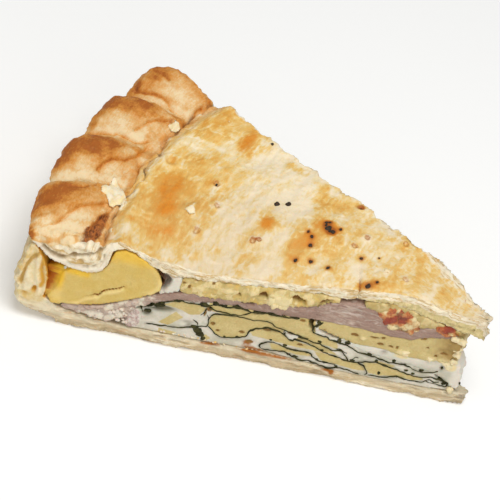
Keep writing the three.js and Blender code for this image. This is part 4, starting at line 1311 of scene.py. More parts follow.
class PIE_OT_egg_white(PieOperator, bpy.types.Operator):
    """Set the white round the yolk and the band of white at the tip"""

    bl_idname = "pie.egg_white"
    bl_label = "Egg white"

    # An outline on the cut, by distance out and height, and spots with their half widths
    HOLLOW = [(101.6, 28.6), (99.8, 28.4), (96.7, 26), (96.9, 24), (98.2, 21.4), (101.4, 20)]
    BAND_HOLLOWS = ((30.7, 14.8, 1, 0.8), (12.6, 13.2, 0.55, 1))
    PALE_LUMPS = ((25, 15.2, 2.4, 1.3), (10, 14.4, 1.8, 1.6))

    def execute(self, context):
        sizes, colours = asked(context)
        finish = white_finish(colours)
        for name, node in (("white_pocket", "egg_white"), ("white_band", "white_band")):
            skin = Skin(name, [node], sizes.filling_grain)
            skin.relax(3)
            skin.swell(sizes.filling_swell)
            at = skin.at
            skin.push(0.2 * cloud(at.solid * 0.25, 101) + 0.06 * ripple(at.solid * 0.9, 102))
            hollow = inside(at.out, at.flat, self.HOLLOW, 0.35) * smooth(9, 6, at.near)
            skin.push(-3 * hollow * skin.near_cut, -skin.around)
            # The hollow is pressed in and painted dark as its shade, darker from 98 mm out
            hole = hollow * (0.75 + 0.3 * smooth(98, 100, at.out))
            cool = np.full(len(at.out), 0.25)
            egg = np.zeros(len(at.out))
            if node == "white_band":
                cool = (0.35 + 0.5 * smooth(14.5, 10.5, at.flat)) * smooth(7, 11, at.out)
                worn = 1.1 + 0.45 * ripple(at.solid * 0.45, 103) + 0.25 * ripple(at.solid * 1.1, 104)
                skin.push(smooth(9, 5, at.out) * worn, skin.outwards)
                for spot in self.BAND_HOLLOWS:
                    # Each pit is pressed in and painted dark as its shade
                    pit = skin.near_cut * hump(at.cut_gap(*spot), 1)
                    skin.push(-0.6 * pit)
                    hole = np.maximum(hole, 0.45 * pit)
                for spot in self.PALE_LUMPS:
                    gap = at.cut_gap(*spot)
                    skin.push(0.4 * skin.cut * hump(gap, 1))
                    egg = np.maximum(egg, hump(gap, 1.2))
            skin.paint(hole=hole, cool=cool, egg=egg)
            skin.done(finish, "egg_white")
        return {"FINISHED"}


class PIE_OT_bacon(PieOperator, bpy.types.Operator):
    """Lay the bacon rasher"""

    bl_idname = "pie.bacon"
    bl_label = "Bacon rasher"

    # An outline on the cut, by distance out and height, and spots with their half widths
    HOLE = [(75.8, 25.4), (71.6, 25.4), (71.8, 22.9), (75.2, 22.9)]
    DARK_SPOTS = (
        (52.5, 24.6, 1.2, 0.7), (41.2, 29.6, 1, 0.3), (40.8, 23.4, 0.9, 0.5), (68.5, 23, 0.5, 1.6),
    )

    def execute(self, context):
        sizes, colours = asked(context)
        skin = Skin("bacon_rasher", ["bacon"], sizes.filling_grain)
        skin.relax(3)
        skin.swell(sizes.filling_swell)
        at = skin.at
        shreds = smooth(98, 104, at.out)
        fibres = cloud(at.sheet * (0.16, 0.16, 0.9), 111) + 0.5 * ripple(at.sheet * (0.5, 0.5, 1.6), 112)
        gap, own = crumble(at.sheet * (0.5, 0.5, 0.5), 113)
        skin.push(skin.cut * (0.5 * fibres * (1 - shreds) + shreds * (1.6 * (0.5 - gap) + 0.5 * fibres)))
        skin.push((1 - skin.cut) * 0.15 * cloud(at.solid * 0.3, 114))
        # The hole is pressed in and painted dark as its shade
        hole = inside(at.out, at.flat, self.HOLE, 0.35) * skin.near_cut
        skin.push(-1.4 * hole)
        spots = np.max([hump(at.cut_gap(*spot), 1) for spot in self.DARK_SPOTS], axis=0)
        pale = 0.12 + 0.63 * shreds + 0.25 * smooth(57, 51, at.out)
        pale = pale - 0.3 * smooth(44, 37, at.out) - 0.25 * smooth(24, 18, at.out)
        pale = pale - 0.25 * smooth(64, 58, at.out) * smooth(52, 58, at.out)
        low = smooth(124, 119, at.out) * smooth(9, 6.5, at.flat)
        crumb = shreds * (0.3 + 0.7 * (own > 0.5)) * np.maximum(smooth(118, 110, at.out), low)
        skin.paint(pale=pale, crumb=crumb, hole=np.maximum(hole, 0.35 * spots * skin.near_cut))
        skin.done(bacon_finish(colours), "bacon")
        return {"FINISHED"}


class PIE_OT_crisp_bacon(PieOperator, bpy.types.Operator):
    """Crumble the crisp bacon ends"""

    bl_idname = "pie.crisp_bacon"
    bl_label = "Crisp bacon"

    # Patches on the cut: distance out, height, half widths and strength
    RED = (
        (31.5, 27.9, 1.8, 1.1, 1), (28.1, 29.2, 1.6, 1, 1), (35.4, 29.5, 0.7, 0.5, 1),
        (14.6, 28.9, 1.2, 1.4, 1),
    )
    PALE = (
        (29.8, 26, 1, 0.6, 0.9), (26, 25, 1.6, 1.6, 1), (34.3, 31.4, 1.3, 0.8, 0.9),
        (29.9, 30.9, 1, 0.6, 0.9), (24.4, 30.4, 1.8, 0.9, 0.9),
    )

    def execute(self, context):
        sizes, colours = asked(context)
        finish = crisp_finish(colours)
        for number in (1, 2):
            skin = Skin(f"crisp_end_{number}", [f"bacon_crisp_{number}"], sizes.crisp_grain)
            skin.swell(sizes.filling_swell)
            at = skin.at
            gap, own = crumble(at.solid * 0.5 + 0.5 * cloud(at.solid * 0.45, 122)[:, None], 121)
            fine, _ = crumble(at.solid * 1.1, 131)
            skin.push(1.1 * (0.6 - gap) + 0.4 * (0.5 - fine) + 0.2)
            own = 0.5 + 0.7 * (own - 0.5) - 0.55 * at.cut_patches(self.RED) + 0.4 * at.cut_patches(self.PALE)
            # The gaps between the crumbs are painted dark as their shade
            skin.paint(own=own, gap=smooth(0.62, 0.95, gap))
            skin.done(finish, "crisp_bacon")
        return {"FINISHED"}


class PIE_OT_egg(PieOperator, bpy.types.Operator):
    """Set the beaten egg: crumbly above the bacon, smooth and leafy below it"""

    bl_idname = "pie.egg"
    bl_label = "Beaten egg"

    # On the cut, by distance out and height: outlines, some with their softness, and spots with half widths,
    # some with their strength
    NOTCHES = (
        [(71.2, 26.4), (70.6, 28.4), (69.8, 28.8), (68.6, 27.6), (68.4, 26.4)],
        [(62.2, 27.6), (61, 29.4), (60.2, 30), (59.2, 29.2), (57.6, 28.4), (57.4, 27.4)],
        [(53.5, 27.9), (52.6, 30.3), (50.2, 30.6), (50, 29)], [(77.4, 25.4), (76.6, 26.6), (76, 25)],
    )
    PITS = (
        (93.3, 27.6, 0.5, 0.4), (93.2, 25.7, 0.6, 0.4), (91.3, 24.6, 0.4, 0.7), (89.6, 28, 1.2, 0.3),
        (84.6, 27.9, 0.4, 0.5), (40.6, 19.3, 1, 0.55), (34.8, 19.8, 1.2, 0.32), (32.2, 20.2, 0.6, 0.35),
        (32.4, 17.6, 0.9, 0.45), (29.3, 17.6, 0.7, 0.35), (27.4, 17.8, 0.35, 0.5), (20.8, 23.3, 0.9, 0.6),
        (18.7, 20, 0.4, 0.3), (13.5, 19.1, 1, 0.35), (15.7, 17.6, 0.5, 0.35), (10.5, 17.6, 0.6, 0.5),
        (49.8, 18.3, 0.6, 0.45), (81.8, 12.4, 0.6, 0.6), (72.9, 11.3, 0.8, 0.45), (65.8, 14.5, 1.1, 0.7),
        (63.5, 14.6, 0.9, 0.35), (83.9, 17.8, 0.7, 0.9), (59, 14.7, 0.8, 0.4), (55.2, 10.9, 0.8, 0.4),
        (79.9, 10.1, 0.6, 0.3), (84.8, 15.8, 0.3, 1.2), (56.6, 20.6, 0.8, 0.5), (69.9, 8.2, 0.9, 0.6),
    )
    MEAT = [(112, 14.5), (104.8, 13.4), (103.4, 11), (102.9, 8), (103.6, 5.4), (112, 3.6)]
    STAINS = (
        (70.4, 8, 1.6, 1.1, 1), (69, 5.8, 3.4, 1, 1), (66.5, 5.6, 2, 0.7, 0.8), (62, 5, 4, 0.6, 0.6),
        (81, 5, 3, 0.6, 1), (12, 27.2, 1.5, 0.9, 1.2),
    )
    SHADES = (
        (98.8, 14.2, 3, 1.3, 1.2), (95.4, 14.4, 2.6, 1, 0.7), (101.4, 11.5, 1.4, 1, 1.2),
        (89.2, 10.9, 2.2, 1.1, 0.6),
    )
    LUMPS = (
        (16.8, 16.2, 1.4, 1.2), (25.5, 16.6, 2.4, 1.2), (12, 17, 2, 1.6), (9.3, 18.8, 1.2, 1.6),
        (10, 22.8, 1.5, 1.2), (38, 19, 1, 0.7), (64.8, 28.2, 3, 1.6), (56, 28.8, 1.2, 1.6),
        (80, 26.6, 2.6, 1.2), (73, 27.6, 1.4, 1.2), (88, 25.4, 1.4, 1),
    )
    CELLS = (
        ([(97.6, 15.9), (94.5, 17.9), (92, 18.7), (88, 18.8), (85.6, 18.2), (85, 17), (86.4, 15),
          (89.2, 14.3), (93, 15.6)], 0.5), ([(97.6, 8.9), (93.2, 14), (90.6, 12.6), (94.4, 8.6)], 0.35),
        ([(85, 17.5), (84, 21), (70, 21.5), (53, 22), (52, 16.5), (45, 15.2), (44, 12.4), (49, 13.2),
          (55, 14.4), (60.5, 15.6), (64, 16.8), (70, 17.2), (78, 17)], 0.4),
        ([(83, 15.8), (82.2, 16.4), (76, 17.2), (66.5, 17.6), (61.5, 16), (61, 14.6), (65.6, 15.1),
          (69.4, 13.6), (71.3, 11.2), (71.7, 9.9), (77.4, 8), (80.3, 8.8), (82.9, 11.2)], 0.3),
        ([(70.6, 12.6), (68, 14.4), (65.6, 15), (61.5, 14.6), (58.6, 12.2), (57, 12.4), (50, 11.2),
          (46, 9.9), (49, 10.2), (56, 10), (61, 10.4), (66, 10.9), (69.6, 11)], 0.5),
        ([(57, 13), (53, 12.6), (48, 10.8), (43, 9.6), (46, 11.6), (50, 13), (56, 14.4)], 0.4),
        ([(64, 9.6), (60, 9.3), (55, 8.8), (52, 8.7), (50.6, 7.6), (54, 7.2), (60, 7.4), (63, 7.2)], 0.8),
        ([(50.5, 9.8), (44, 9.4), (38, 8.7), (35.4, 7.8), (34, 6.2), (38, 5.8), (43, 6.4), (48, 6.8)], 0.5),
        ([(36, 9.3), (31, 10), (26, 9.2), (21, 8.2), (17.6, 8), (16.6, 7.2), (20, 6.3), (25, 6.6),
          (30, 5.4), (33, 5.6), (34.6, 7.6)], 0.5), ([(97, 6.6), (92, 6.2), (93, 4.8), (97, 4.6)], 0.5),
        ([(84.4, 6.8), (83, 7.8), (81.4, 6.6), (82.6, 5.4)], 0.4),
        ([(33, 11), (26, 10.6), (27, 9.6), (31, 10.2)], 0.5),
    )

    LOOSE = {"top_egg": 1, "crumb_egg": 1, "upper_egg": 0.25, "leafy_egg": 0.1}
    SUNNY = {"top_egg": 0.5, "crumb_egg": 0.35, "upper_egg": 0.1, "leafy_egg": 0}

    def execute(self, context):
        sizes, colours = asked(context)
        finish = egg_finish(colours)
        inner = [f"leaf_{number}" for number in range(1, 9)]
        for name, node, filled in (("crumbly_egg", "top_egg", ()), ("tip_egg", "crumb_egg", ()),
                                   ("smooth_egg", "upper_egg", ()), ("leafy_egg_cut", "leafy_egg", inner)):
            skin = Skin(name, [node], sizes.filling_grain, filled)
            skin.relax(3)
            skin.swell(sizes.filling_swell)
            self.shape(skin, node)
            skin.done(finish, "egg")
        return {"FINISHED"}

    def shape(self, skin, node):
        at = skin.at
        none = np.zeros(len(at.out))
        loose = self.LOOSE[node]
        if node == "upper_egg":
            loose = loose + 0.75 * smooth(22, 12, at.out)
        relief = 0.12 * cloud(at.solid * 0.35, 141) + 0.06 * ripple(at.solid * 1.1, 142)
        if node != "leafy_egg":
            gap, own = crumble(at.solid * 0.62 + 0.5 * cloud(at.solid * 0.6, 145)[:, None], 143)
            relief = relief + loose * skin.cut * (0.8 * (0.55 - gap) + 0.5 * cloud(at.solid * 0.5, 144))
            crumb = loose * 0.6 * smooth(0.45, 0.75, own) + 0.08
        else:
            crumb = none
        pits = none.copy()
        # Pits are pressed in and painted dark as their shade
        for spot in self.PITS:
            pit = skin.near_cut * smooth(1.85, 0.8, at.cut_gap(*spot))
            relief = relief - 0.5 * pit
            pits = np.maximum(pits, 0.95 * pit)
        for spot in self.LUMPS:
            lump = skin.cut * hump(at.cut_gap(*spot), 1)
            relief = relief + 0.7 * lump
            crumb = np.maximum(crumb, lump)
        if node == "top_egg":
            # Notches are pressed in and painted dark as their shade
            for loop in self.NOTCHES:
                notch = skin.near_cut * inside(at.out, at.flat, loop, 0.3)
                relief = relief - 1.8 * notch
                pits = np.maximum(pits, 0.9 * notch)
                crumb = crumb * (1 - notch)
        white, meat, green = none, none, none
        if node == "leafy_egg":
            meat = inside(at.out, at.flat, self.MEAT, 0.6) * skin.near_cut
            gap, _ = crumble(at.solid * 0.55, 146)
            relief = relief + meat * (1.3 * (0.6 - gap) + 0.3)
            # Painted shade beside the leaves and in the SHADES hollows, which are also pressed in
            beside = np.min([line_gap(at.out, at.flat, line) for line in PIE_OT_leaves.LINES], axis=0)
            shades = at.cut_patches(self.SHADES)
            green = skin.cut * (0.45 * smooth(1.2, 0.2, beside + 0.5 * ripple(at.solid * 0.7, 147)) + shades)
            relief = relief - 0.9 * skin.near_cut * shades
            white = np.full(len(at.out), 0.9)
            for loop, soft in self.CELLS:
                white = white * (1 - inside(at.out, at.flat, loop, soft))
        deep = none
        # Painted shade under the lid near the tip: darker egg, most towards the tip
        if node == "crumb_egg":
            deep = 0.5 + 0.3 * smooth(22, 14, at.out)
        if node == "upper_egg":
            deep = 0.25 + 0.75 * smooth(20, 11, at.out) * smooth(16, 19, at.flat)
        skin.push(relief)
        stain = at.cut_patches(self.STAINS) * skin.cut
        skin.paint(crumb=crumb, white=white, pit=pits, deep=deep * skin.cut, sunny=none + self.SUNNY[node],
                   stain=stain, meat=meat, green=green)


class PIE_OT_leaves(PieOperator, bpy.types.Operator):
    """Fold the green leaves through the egg"""

    bl_idname = "pie.leaves"
    bl_label = "Leaves"

    # Lines on the cut, by distance out and height, and clumps with their half widths
    LINES = (
        [(103.4, 13.7), (100.7, 14.7), (99.7, 15.6), (95.7, 17.8), (92.7, 19), (89.6, 18.7), (84.5, 19.2),
         (82.6, 20.3), (79.4, 20), (75.2, 20.7), (71.7, 19.9), (66.9, 20.7), (62.4, 20.7), (57.6, 21.4)],
        [(83.2, 15.3), (82.2, 16.3), (80.6, 16.8), (73.6, 17.4), (71, 17.1), (66.5, 17.6), (65.3, 17.3),
         (63.7, 16.3), (61.7, 16), (59.2, 15), (56.4, 14.6), (51.7, 13.2), (49.6, 13.2), (47.2, 12),
         (45.4, 11.8), (43, 12.2), (40.2, 9.2)],
        [(100.8, 7.3), (99.2, 7.7), (97.3, 7.5), (95.4, 8), (91.5, 8.3), (83.5, 11), (83.1, 12.4),
         (83.4, 14), (82.9, 15.6)],
        [(83, 11.2), (80.3, 8.8), (79, 8.1), (77.4, 8), (71.7, 9.9), (70.5, 13.1), (68.1, 14.4),
         (65.6, 15.1), (61.7, 14.7), (58.8, 12.3), (57.6, 12), (57.2, 13.1), (53.1, 12.5), (47.2, 10.1),
         (41.3, 8.9), (37.1, 8.7), (35.7, 8.2), (35, 7.7), (33.4, 5.4), (34, 4.7)],
        [(66.2, 6.9), (67, 7.6), (66.7, 8.3), (64.6, 9.9), (63, 10.2), (58.8, 8.9), (52.4, 8.9),
         (51.1, 8.5), (50.8, 7.7), (48.5, 6.2), (43.3, 6.1)],
        [(66.2, 6.7), (64.6, 6.5), (59.2, 7.3), (55.1, 5.5), (53.4, 5.3), (51.7, 5.7), (45.8, 4.2),
         (44.7, 4.4), (43.3, 5.2), (41.3, 5.3), (35.7, 4.4)],
        [(50.8, 21.9), (51.3, 20.9), (52.7, 19.5), (53.2, 18.3), (52.9, 17.4), (51.7, 16.8), (48.2, 16.2),
         (47.2, 15.5), (41.9, 14.8), (37.8, 12.8), (32.6, 12.4), (28.4, 11.3), (24.2, 11.7), (22.5, 11.5),
         (19.7, 10.3), (17.6, 10.1), (14.5, 11), (13.5, 12)],
        [(37.1, 8.9), (34.1, 10.1), (32.2, 10.4), (28.1, 9.8), (21.5, 8.2), (17.6, 8), (14.9, 8.9),
         (10, 8.2), (9.2, 7.5), (9.2, 6.7), (9.8, 6.2), (15.9, 7), (17.3, 6.3), (20.8, 5.9), (24.6, 6.6),
         (27.4, 5.3), (33.3, 4.7)],
    )
    STRANDS = (
        [(61.1, 16), (60.9, 15.2), (60.9, 14.2)], [(44.7, 12.7), (43.3, 12.7), (42.3, 12), (41.1, 11.8)],
        [(39.2, 9.1), (38.8, 10.1), (38.3, 11), (37.4, 10.9)], [(87.7, 12.6), (86.1, 11.7), (85.8, 10.6)],
        [(39.8, 9.2), (38.4, 8.8), (37.1, 8.9)], [(85.9, 15), (85.2, 16.2), (84.6, 17.6)],
        [(84, 18.2), (80.6, 17.7), (77.5, 17.6), (74.6, 18), (72.6, 19.2), (71.7, 19.9)],
        [(16.3, 7), (15, 7.8), (13.6, 7.3), (12, 7.6)], [(103.7, 13.8), (103.2, 12.6), (102.6, 11.6)],
        [(84.2, 15.7), (83.6, 14.6), (83.2, 13)],
    )
    CLUMPS = (
        (99.3, 15.4, 1.2, 0.9), (85.7, 19.3, 1.1, 0.8), (82.5, 20.8, 0.6, 0.7), (80.2, 20.3, 0.7, 0.5),
        (76.4, 20.8, 0.8, 0.7), (74.8, 20.7, 0.6, 0.4), (65.6, 20.7, 1.5, 0.45), (62, 20.7, 1, 0.35),
        (86.6, 9.7, 1.3, 0.9), (85.7, 8.6, 1.6, 1.2), (84.6, 7.3, 1.3, 1.2), (83.5, 5.9, 0.7, 0.9),
        (98.9, 15.6, 2, 0.7), (93.5, 18.7, 1.4, 0.4), (85.7, 19, 1.8, 0.8), (82.5, 20.4, 1, 0.8),
        (80.1, 20.3, 1, 0.6), (76, 20.7, 1.4, 0.6), (44.4, 15.8, 0.6, 0.75), (41.8, 15.7, 0.9, 0.75),
        (51.7, 21.2, 0.7, 0.6), (52.2, 19.9, 0.5, 0.6), (55, 14.1, 1.7, 0.4), (49.9, 14, 0.7, 0.5),
        (48.5, 10.9, 0.6, 0.4), (55.6, 6.3, 0.8, 0.55), (49.2, 6.8, 0.5, 0.5), (46.6, 6.3, 1.1, 0.4),
        (34.5, 12.9, 0.8, 0.5), (27, 12.4, 0.7, 0.7), (18.3, 10.9, 0.8, 0.6), (30.1, 6.4, 0.45, 0.9),
        (32, 11.1, 0.5, 0.45), (22.5, 9.7, 0.7, 0.35), (20.4, 8.9, 0.6, 0.35), (10.6, 7.3, 0.7, 0.55),
        (5.9, 8.7, 0.3, 0.4), (64.1, 10.9, 0.45, 0.4), (59.6, 9.9, 0.7, 0.4), (101.3, 12.4, 1.1, 0.6),
        (73.8, 9.3, 0.7, 0.35), (77.6, 8.5, 0.5, 0.3), (57.9, 6.6, 0.7, 0.4), (12.6, 13.3, 0.35, 0.5),
        (93.4, 18.6, 0.8, 0.5), (97.6, 16.6, 0.7, 0.4), (52.8, 8.8, 0.6, 0.4), (43, 5.6, 0.7, 0.35),
        (24.5, 6.5, 0.6, 0.3), (60.6, 14.4, 0.35, 0.6), (38.9, 9.3, 0.8, 0.5),
    )
    ROUND_STEPS = 24
    STRAND_STEPS = 4
    STRAND_DEPTH = 2
    PROUD = 0.16

    def execute(self, context):
        sizes, colours = asked(context)
        finish = leaf_finish(colours)
        thick = sizes.leaf_thickness / MM
        for number, line in enumerate(self.LINES, 1):
            mesh = joined_mesh(f"leaf_sheet_{number}", [self.sheet(line, thick, 150 + number)])
            self.done(mesh, f"leaf_sheet_{number}", finish, [f"leaf_{number}"])
        shells = [
            self.sheet(line, 0.75 * thick, 170 + i, self.STRAND_DEPTH) for i, line in enumerate(self.STRANDS)
        ]
        rng = np.random.default_rng(7)
        shells += [self.clump(rng, *clump) for clump in self.CLUMPS]
        self.done(joined_mesh("leaf_bits", shells), "leaf_bits", finish, [])
        return {"FINISHED"}

    def done(self, mesh, name, finish, nodes):
        at = Place(mesh_points(mesh))
        thin = 0.5 + 0.5 * ripple(at.solid * 0.5, 161)
        dressed(name, mesh, at, {"thin": thin}, finish, nodes)

    def sheet(self, line, thick, seed, depth=None):
        """A leaf's points and faces: a closed thin strip along the line, from cut to cut or to some depth."""
        line = np.array(line, float)
        steps = np.r_[0, np.cumsum(np.hypot(*np.diff(line, axis=0).T))]
        fine = np.arange(0, steps[-1] + 0.2, 0.4)
        out = np.interp(fine, steps, line[:, 0])
        flat = np.interp(fine, steps, line[:, 1])
        along = columns(fine, 0, 0)
        out = out + 0.16 * ripple(along * 0.8, seed)
        flat = flat + 0.2 * ripple(along * 0.9 + 5, seed)
        tangent = columns(np.gradient(out), np.gradient(flat))
        tangent /= np.linalg.norm(tangent, axis=1, keepdims=True)
        side = columns(-tangent[:, 1], tangent[:, 0])
        half = 0.5 * thick * (1 + 0.45 * ripple(along * 0.6 + 9, seed) + 0.3 * ripple(along * 1.7 + 3, seed))
        half *= 1 + 0.5 * ripple(along * 0.25 + 13, seed)
        half *= np.minimum(1, 0.35 + 0.8 * np.minimum(fine, fine[-1] - fine))
        ring_out = np.r_[out + side[:, 0] * half, (out - side[:, 0] * half)[::-1]]
        ring_flat = np.r_[flat + side[:, 1] * half, (flat - side[:, 1] * half)[::-1]]
        proud = np.degrees(self.PROUD / ring_out)
        start = -HALF_SLICE - proud
        end = HALF_SLICE + proud if depth is None else -HALF_SLICE + np.degrees(depth / ring_out)
        rows = self.ROUND_STEPS if depth is None else self.STRAND_STEPS
        turns = [start + (end - start) * row / rows for row in range(rows + 1)]
        points = [point_at(ring_out, turn, ring_flat) for turn in turns]
        count, half_count = len(ring_out), len(fine)
        faces = []
        for row in range(rows):
            for i in range(count):
                j = (i + 1) % count
                faces.append([row * count + i, row * count + j, (row + 1) * count + j, (row + 1) * count + i])
        for i in range(half_count - 1):
            near = [i, i + 1, count - 2 - i, count - 1 - i]
            faces.append(near[::-1])
            faces.append([rows * count + k for k in near])
        return np.concatenate(points), faces

    def clump(self, rng, out, flat, half_out, half_up):
        points, faces = round_shell(2)
        rough = 1 + 0.35 * ripple(points * 1.6 + rng.uniform(0, 50, 3), 181)
        points = points * rough[:, None] * (half_out, 0.5, half_up)
        middle_turn = -HALF_SLICE + np.degrees(0.15 / out)
        turn = middle_turn + np.degrees(points[:, 1] / out)
        return point_at(out + points[:, 0], turn, flat + points[:, 2]), faces


class PIE_OT_specks(PieOperator, bpy.types.Operator):
    """Scatter the charred specks over the lid"""

    bl_idname = "pie.specks"
    bl_label = "Charred specks"

    def execute(self, context):
        _, colours = asked(context)
        lid = bpy.data.objects["lid"]
        rng = np.random.default_rng(11)
        shells = []
        for out, turn, half in SPECKS:
            start = Vector(point_at(out, turn, 0).tolist())
            start.z = RAY_HEIGHT
            hit, spot, normal, _ = lid.ray_cast(start, DOWN)
            if not hit:
                raise RuntimeError(f"no lid under the speck at {out}, {turn}")
            points, faces = round_shell(2)
            points = points * (1 + 0.4 * ripple(points * 1.5 + rng.uniform(0, 50, 3), 191))[:, None]
            points = points * np.array([0.74 * half, 0.8 * half * rng.uniform(1, 1.4), 0.35]) * MM
            spin = Matrix.Rotation(rng.uniform(-0.5, 0.5), 3, "Z")
            lay = Vector((0, 0, 1)).rotation_difference(normal).to_matrix() @ spin
            shells.append((points @ np.array(lay).T + np.array(spot), faces))
        mesh = joined_mesh("charred_specks", shells)
        dressed("charred_specks", mesh, Place(mesh_points(mesh)), {}, speck_finish(colours))
        return {"FINISHED"}


class PIE_OT_flakes(PieOperator, bpy.types.Operator):
    """Drop the loose pastry flakes on the lid and the rim"""

    bl_idname = "pie.flakes"
    bl_label = "Loose flakes"

    # Outlines seen from above the pie's centre
    OUTLINES = (
        [(-122, -12.3), (-120.8, -12.4), (-119, -14.4), (-117, -16), (-115.5, -17.5), (-113.8, -20),
         (-114.4, -22), (-116.2, -24.8), (-118.3, -24.8), (-119.6, -23.2), (-121.2, -23.6), (-121.9, -21.6),
         (-120.4, -19), (-121.6, -16)],
        [(-119.6, 19.6), (-118.6, 21), (-118.4, 23), (-116.8, 22.6), (-115.4, 21.2), (-116.2, 19),
         (-117.8, 18.2)],
        [(-96.4, -10.4), (-95.6, -12.2), (-94.2, -13.8), (-95.8, -15.2), (-97.9, -14.4), (-97.2, -12.8)],
        [(-100.7, -5.7), (-99.8, -6.4), (-100.4, -7.2)],
        [(-104.5, 32), (-103.9, 31.9), (-103.6, 30.2), (-104.1, 30.2)],
        [(-37.6, -3.6), (-36, -3.4), (-35.6, -4.8), (-37.2, -5.6)],
        [(-13.5, 3.2), (-11, 3.6), (-10.2, 1.8), (-12.6, 1.4)],
    )
    SPACING, THICK, REACH = 0.3, 0.35, 1.0
    CLEARANCE, RAISED = 0.08, 0.25
    SMOOTHINGS = 8

    def execute(self, context):
        _, colours = asked(context)
        lid = bpy.data.objects["lid"]
        shells = [self.flake(lid, outline, 211 + i) for i, outline in enumerate(self.OUTLINES)]
        mesh = joined_mesh("loose_flakes", shells)
        dressed("loose_flakes", mesh, Place(mesh_points(mesh)), {}, flake_finish(colours))
        return {"FINISHED"}

    def flake(self, lid, outline, seed):
        """A thin ragged sheet that lies on the lid."""
        corners = np.array(outline)
        low, high = corners.min(0) - self.REACH, corners.max(0) + self.REACH
        xs, ys = np.meshgrid(*(np.arange(a, b, self.SPACING) for a, b in zip(low, high)), indexing="ij")
        flat = columns(xs, ys, 0).reshape(-1, 3)
        jitter = 0.5 * cloud(flat * 0.6, seed) + 0.2 * ripple(flat * 1.7, seed + 7)
        keep = inside(flat[:, 0] + jitter, flat[:, 1] - jitter, outline, 0.01).reshape(xs.shape) > 0.5
        heights = np.full(xs.shape, np.nan)
        for i, j in np.argwhere(keep):
            start = Vector(((xs[i, j] + APEX_X) * MM, ys[i, j] * MM, RAY_HEIGHT))
            hit, spot, _, _ = lid.ray_cast(start, DOWN)
            if hit:
                heights[i, j] = spot.z / MM
        keep &= np.isfinite(heights)
        level = np.where(keep, heights, np.nanmean(heights))
        for _ in range(self.SMOOTHINGS):
            beside = [np.roll(level, step, axis) for axis in (0, 1) for step in (1, -1)]
            level = sum([level, *beside]) / 5
        relief = 0.3 * cloud(flat * 0.3, seed + 3) + 0.05 * ridged(flat * (0.9, 0.5, 0), seed + 5)
        top = np.maximum(level, np.where(keep, heights, 0) + self.CLEARANCE) + self.RAISED
        return self.shell(xs, ys, keep, top + relief.reshape(xs.shape))

    def shell(self, xs, ys, keep, top):
        upper = columns(xs + APEX_X, ys, top).reshape(-1, 3) * MM
        lower = upper - (0, 0, self.THICK * MM)
        rows, width = keep.shape
        count = rows * width
        cells = keep[:-1, :-1] & keep[1:, :-1] & keep[1:, 1:] & keep[:-1, 1:]
        faces = []
        for i, j in np.argwhere(cells):
            ring = [i * width + j, (i + 1) * width + j, (i + 1) * width + j + 1, i * width + j + 1]
            faces.append(ring)
            faces.append([count + k for k in reversed(ring)])
            beside = ((i, j - 1), (i + 1, j), (i, j + 1), (i - 1, j))
            for (a, b), k in zip(beside, range(4)):
                if not (0 <= a < rows - 1 and 0 <= b < width - 1 and cells[a, b]):
                    start, end = ring[k], ring[(k + 1) % 4]
                    faces.append([start, count + start, count + end, end])
        used = sorted({k for face in faces for k in face})
        renamed = {k: n for n, k in enumerate(used)}
        points = np.concatenate([upper, lower])[used]
        return points, [[renamed[k] for k in face] for face in faces]


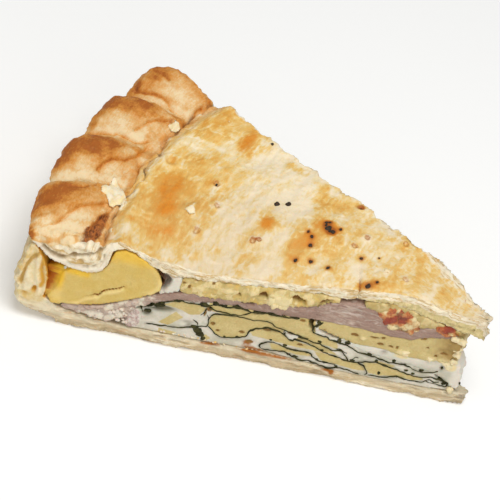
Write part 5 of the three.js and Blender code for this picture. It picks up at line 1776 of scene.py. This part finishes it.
class PIE_OT_crumbs(PieOperator, bpy.types.Operator):
    """Leave egg lumps and loose crumbs on the cuts"""

    bl_idname = "pie.crumbs"
    bl_label = "Crumbs"

    # Lumps on the cut: distance out, height and half widths. Bands: middle, spreads and the crumbs' scale
    HANGING = (
        (64.6, 26.6, 2.9, 2.6), (66, 24.4, 1.5, 1.5), (63.2, 24.6, 1.4, 1.2), (67.2, 26, 1.2, 2),
        (62.2, 26.8, 1, 1.6),
    )
    TIP_LUMPS = (
        (11, 14.6, 1.5, 1.3), (10.2, 22, 1.2, 1.2), (9.6, 19.6, 1.1, 1.2), (8, 5.4, 1.2, 1),
        (11.6, 25.6, 1.3, 0.9), (9.8, 16.8, 1.2, 1), (16.9, 16.2, 1.2, 1), (24.6, 16.4, 1.6, 1),
        (9.6, 24.9, 1.4, 1.2), (12.1, 15.9, 1.9, 1.3),
    )
    BANDS = ((109.5, 8.6, 6, 3.4, 1.6), (84, 5.4, 18, 0.6, 0.8))

    def execute(self, context):
        sizes, colours = asked(context)
        rng = np.random.default_rng(23)
        shells, owns = [], []
        for out, flat, half_out, half_up in self.HANGING + self.TIP_LUMPS:
            shells.append(self.crumb(rng, out, flat, half_out, half_up, 0.9, 3))
            owns.append(0.08 if out > 40.0 else 0.22)
        for i in range(sizes.crumb_count):
            out, flat, spread_out, spread_up, scale = self.BANDS[i % len(self.BANDS)]
            out = out + spread_out * rng.normal(0, 0.45)
            flat = flat + spread_up * rng.normal(0, 0.45)
            half = scale * sizes.crumb_size / MM * rng.uniform(0.4, 1.1)
            if 8.0 < out < 138.0 and 1.0 < flat < 34.0:
                shells.append(self.crumb(rng, out, flat, half, half * rng.uniform(0.6, 1), 0.5, 2))
                owns.append(rng.uniform(0.72, 0.82) if out > 95.0 else rng.uniform(0, 1))
        mesh = joined_mesh("crumbs", shells)
        own = np.concatenate([np.full(len(s[0]), o) for s, o in zip(shells, owns)])
        dressed("crumbs", mesh, Place(mesh_points(mesh)), {"own": own}, crumb_finish(colours))
        return {"FINISHED"}

    def crumb(self, rng, out, flat, half_out, half_up, half_deep, level):
        points, faces = round_shell(level)
        shift = rng.uniform(0, 50, 3)
        rough = 1 + 0.4 * ripple(points * 1.3 + shift, 201) + 0.25 * ripple(points * 3.0 + shift, 202)
        deep = min(half_deep, 0.8 * half_out)
        points = points * rough[:, None] * (half_out, deep, half_up)
        turn = -HALF_SLICE + np.degrees((points[:, 1] + 0.1 * deep) / out)
        return point_at(out + points[:, 0], turn, flat + points[:, 2]), faces


class PIE_PT_panel(bpy.types.Panel):
    """The slice's pieces, sizes and colours"""

    bl_label = "Pie slice"
    bl_idname = "PIE_PT_panel"
    bl_space_type = "VIEW_3D"
    bl_region_type = "UI"
    bl_category = "Pie"

    def draw(self, context):
        for operator in OPERATORS:
            self.layout.operator(operator.bl_idname)
        for group in (context.scene.pie_sizes, context.scene.pie_colours, context.scene.pie_stage):
            box = self.layout.box()
            for name in group.__annotations__:
                box.prop(group, name)


GROUPS = {"pie_sizes": PieSizes, "pie_colours": PieColours, "pie_stage": StageSettings}
OPERATORS = (
    PIE_OT_stage, PIE_OT_lid, PIE_OT_base, PIE_OT_yolk, PIE_OT_egg_white, PIE_OT_bacon, PIE_OT_crisp_bacon,
    PIE_OT_egg, PIE_OT_leaves, PIE_OT_specks, PIE_OT_flakes, PIE_OT_crumbs,
)


def register():
    for group in (*GROUPS.values(), *OPERATORS, PIE_PT_panel):
        bpy.utils.register_class(group)
    for name, group in GROUPS.items():
        setattr(bpy.types.Scene, name, PointerProperty(type=group))


def unregister():
    for name in GROUPS:
        delattr(bpy.types.Scene, name)
    for group in reversed((*GROUPS.values(), *OPERATORS, PIE_PT_panel)):
        bpy.utils.unregister_class(group)


def main():
    register()
    bpy.ops.pie.stage()
    bpy.ops.pie.lid()
    bpy.ops.pie.base()
    bpy.ops.pie.yolk()
    bpy.ops.pie.egg_white()
    bpy.ops.pie.bacon()
    bpy.ops.pie.crisp_bacon()
    bpy.ops.pie.egg()
    bpy.ops.pie.leaves()
    bpy.ops.pie.specks()
    bpy.ops.pie.flakes()
    bpy.ops.pie.crumbs()


if __name__ == "__main__":
    main()
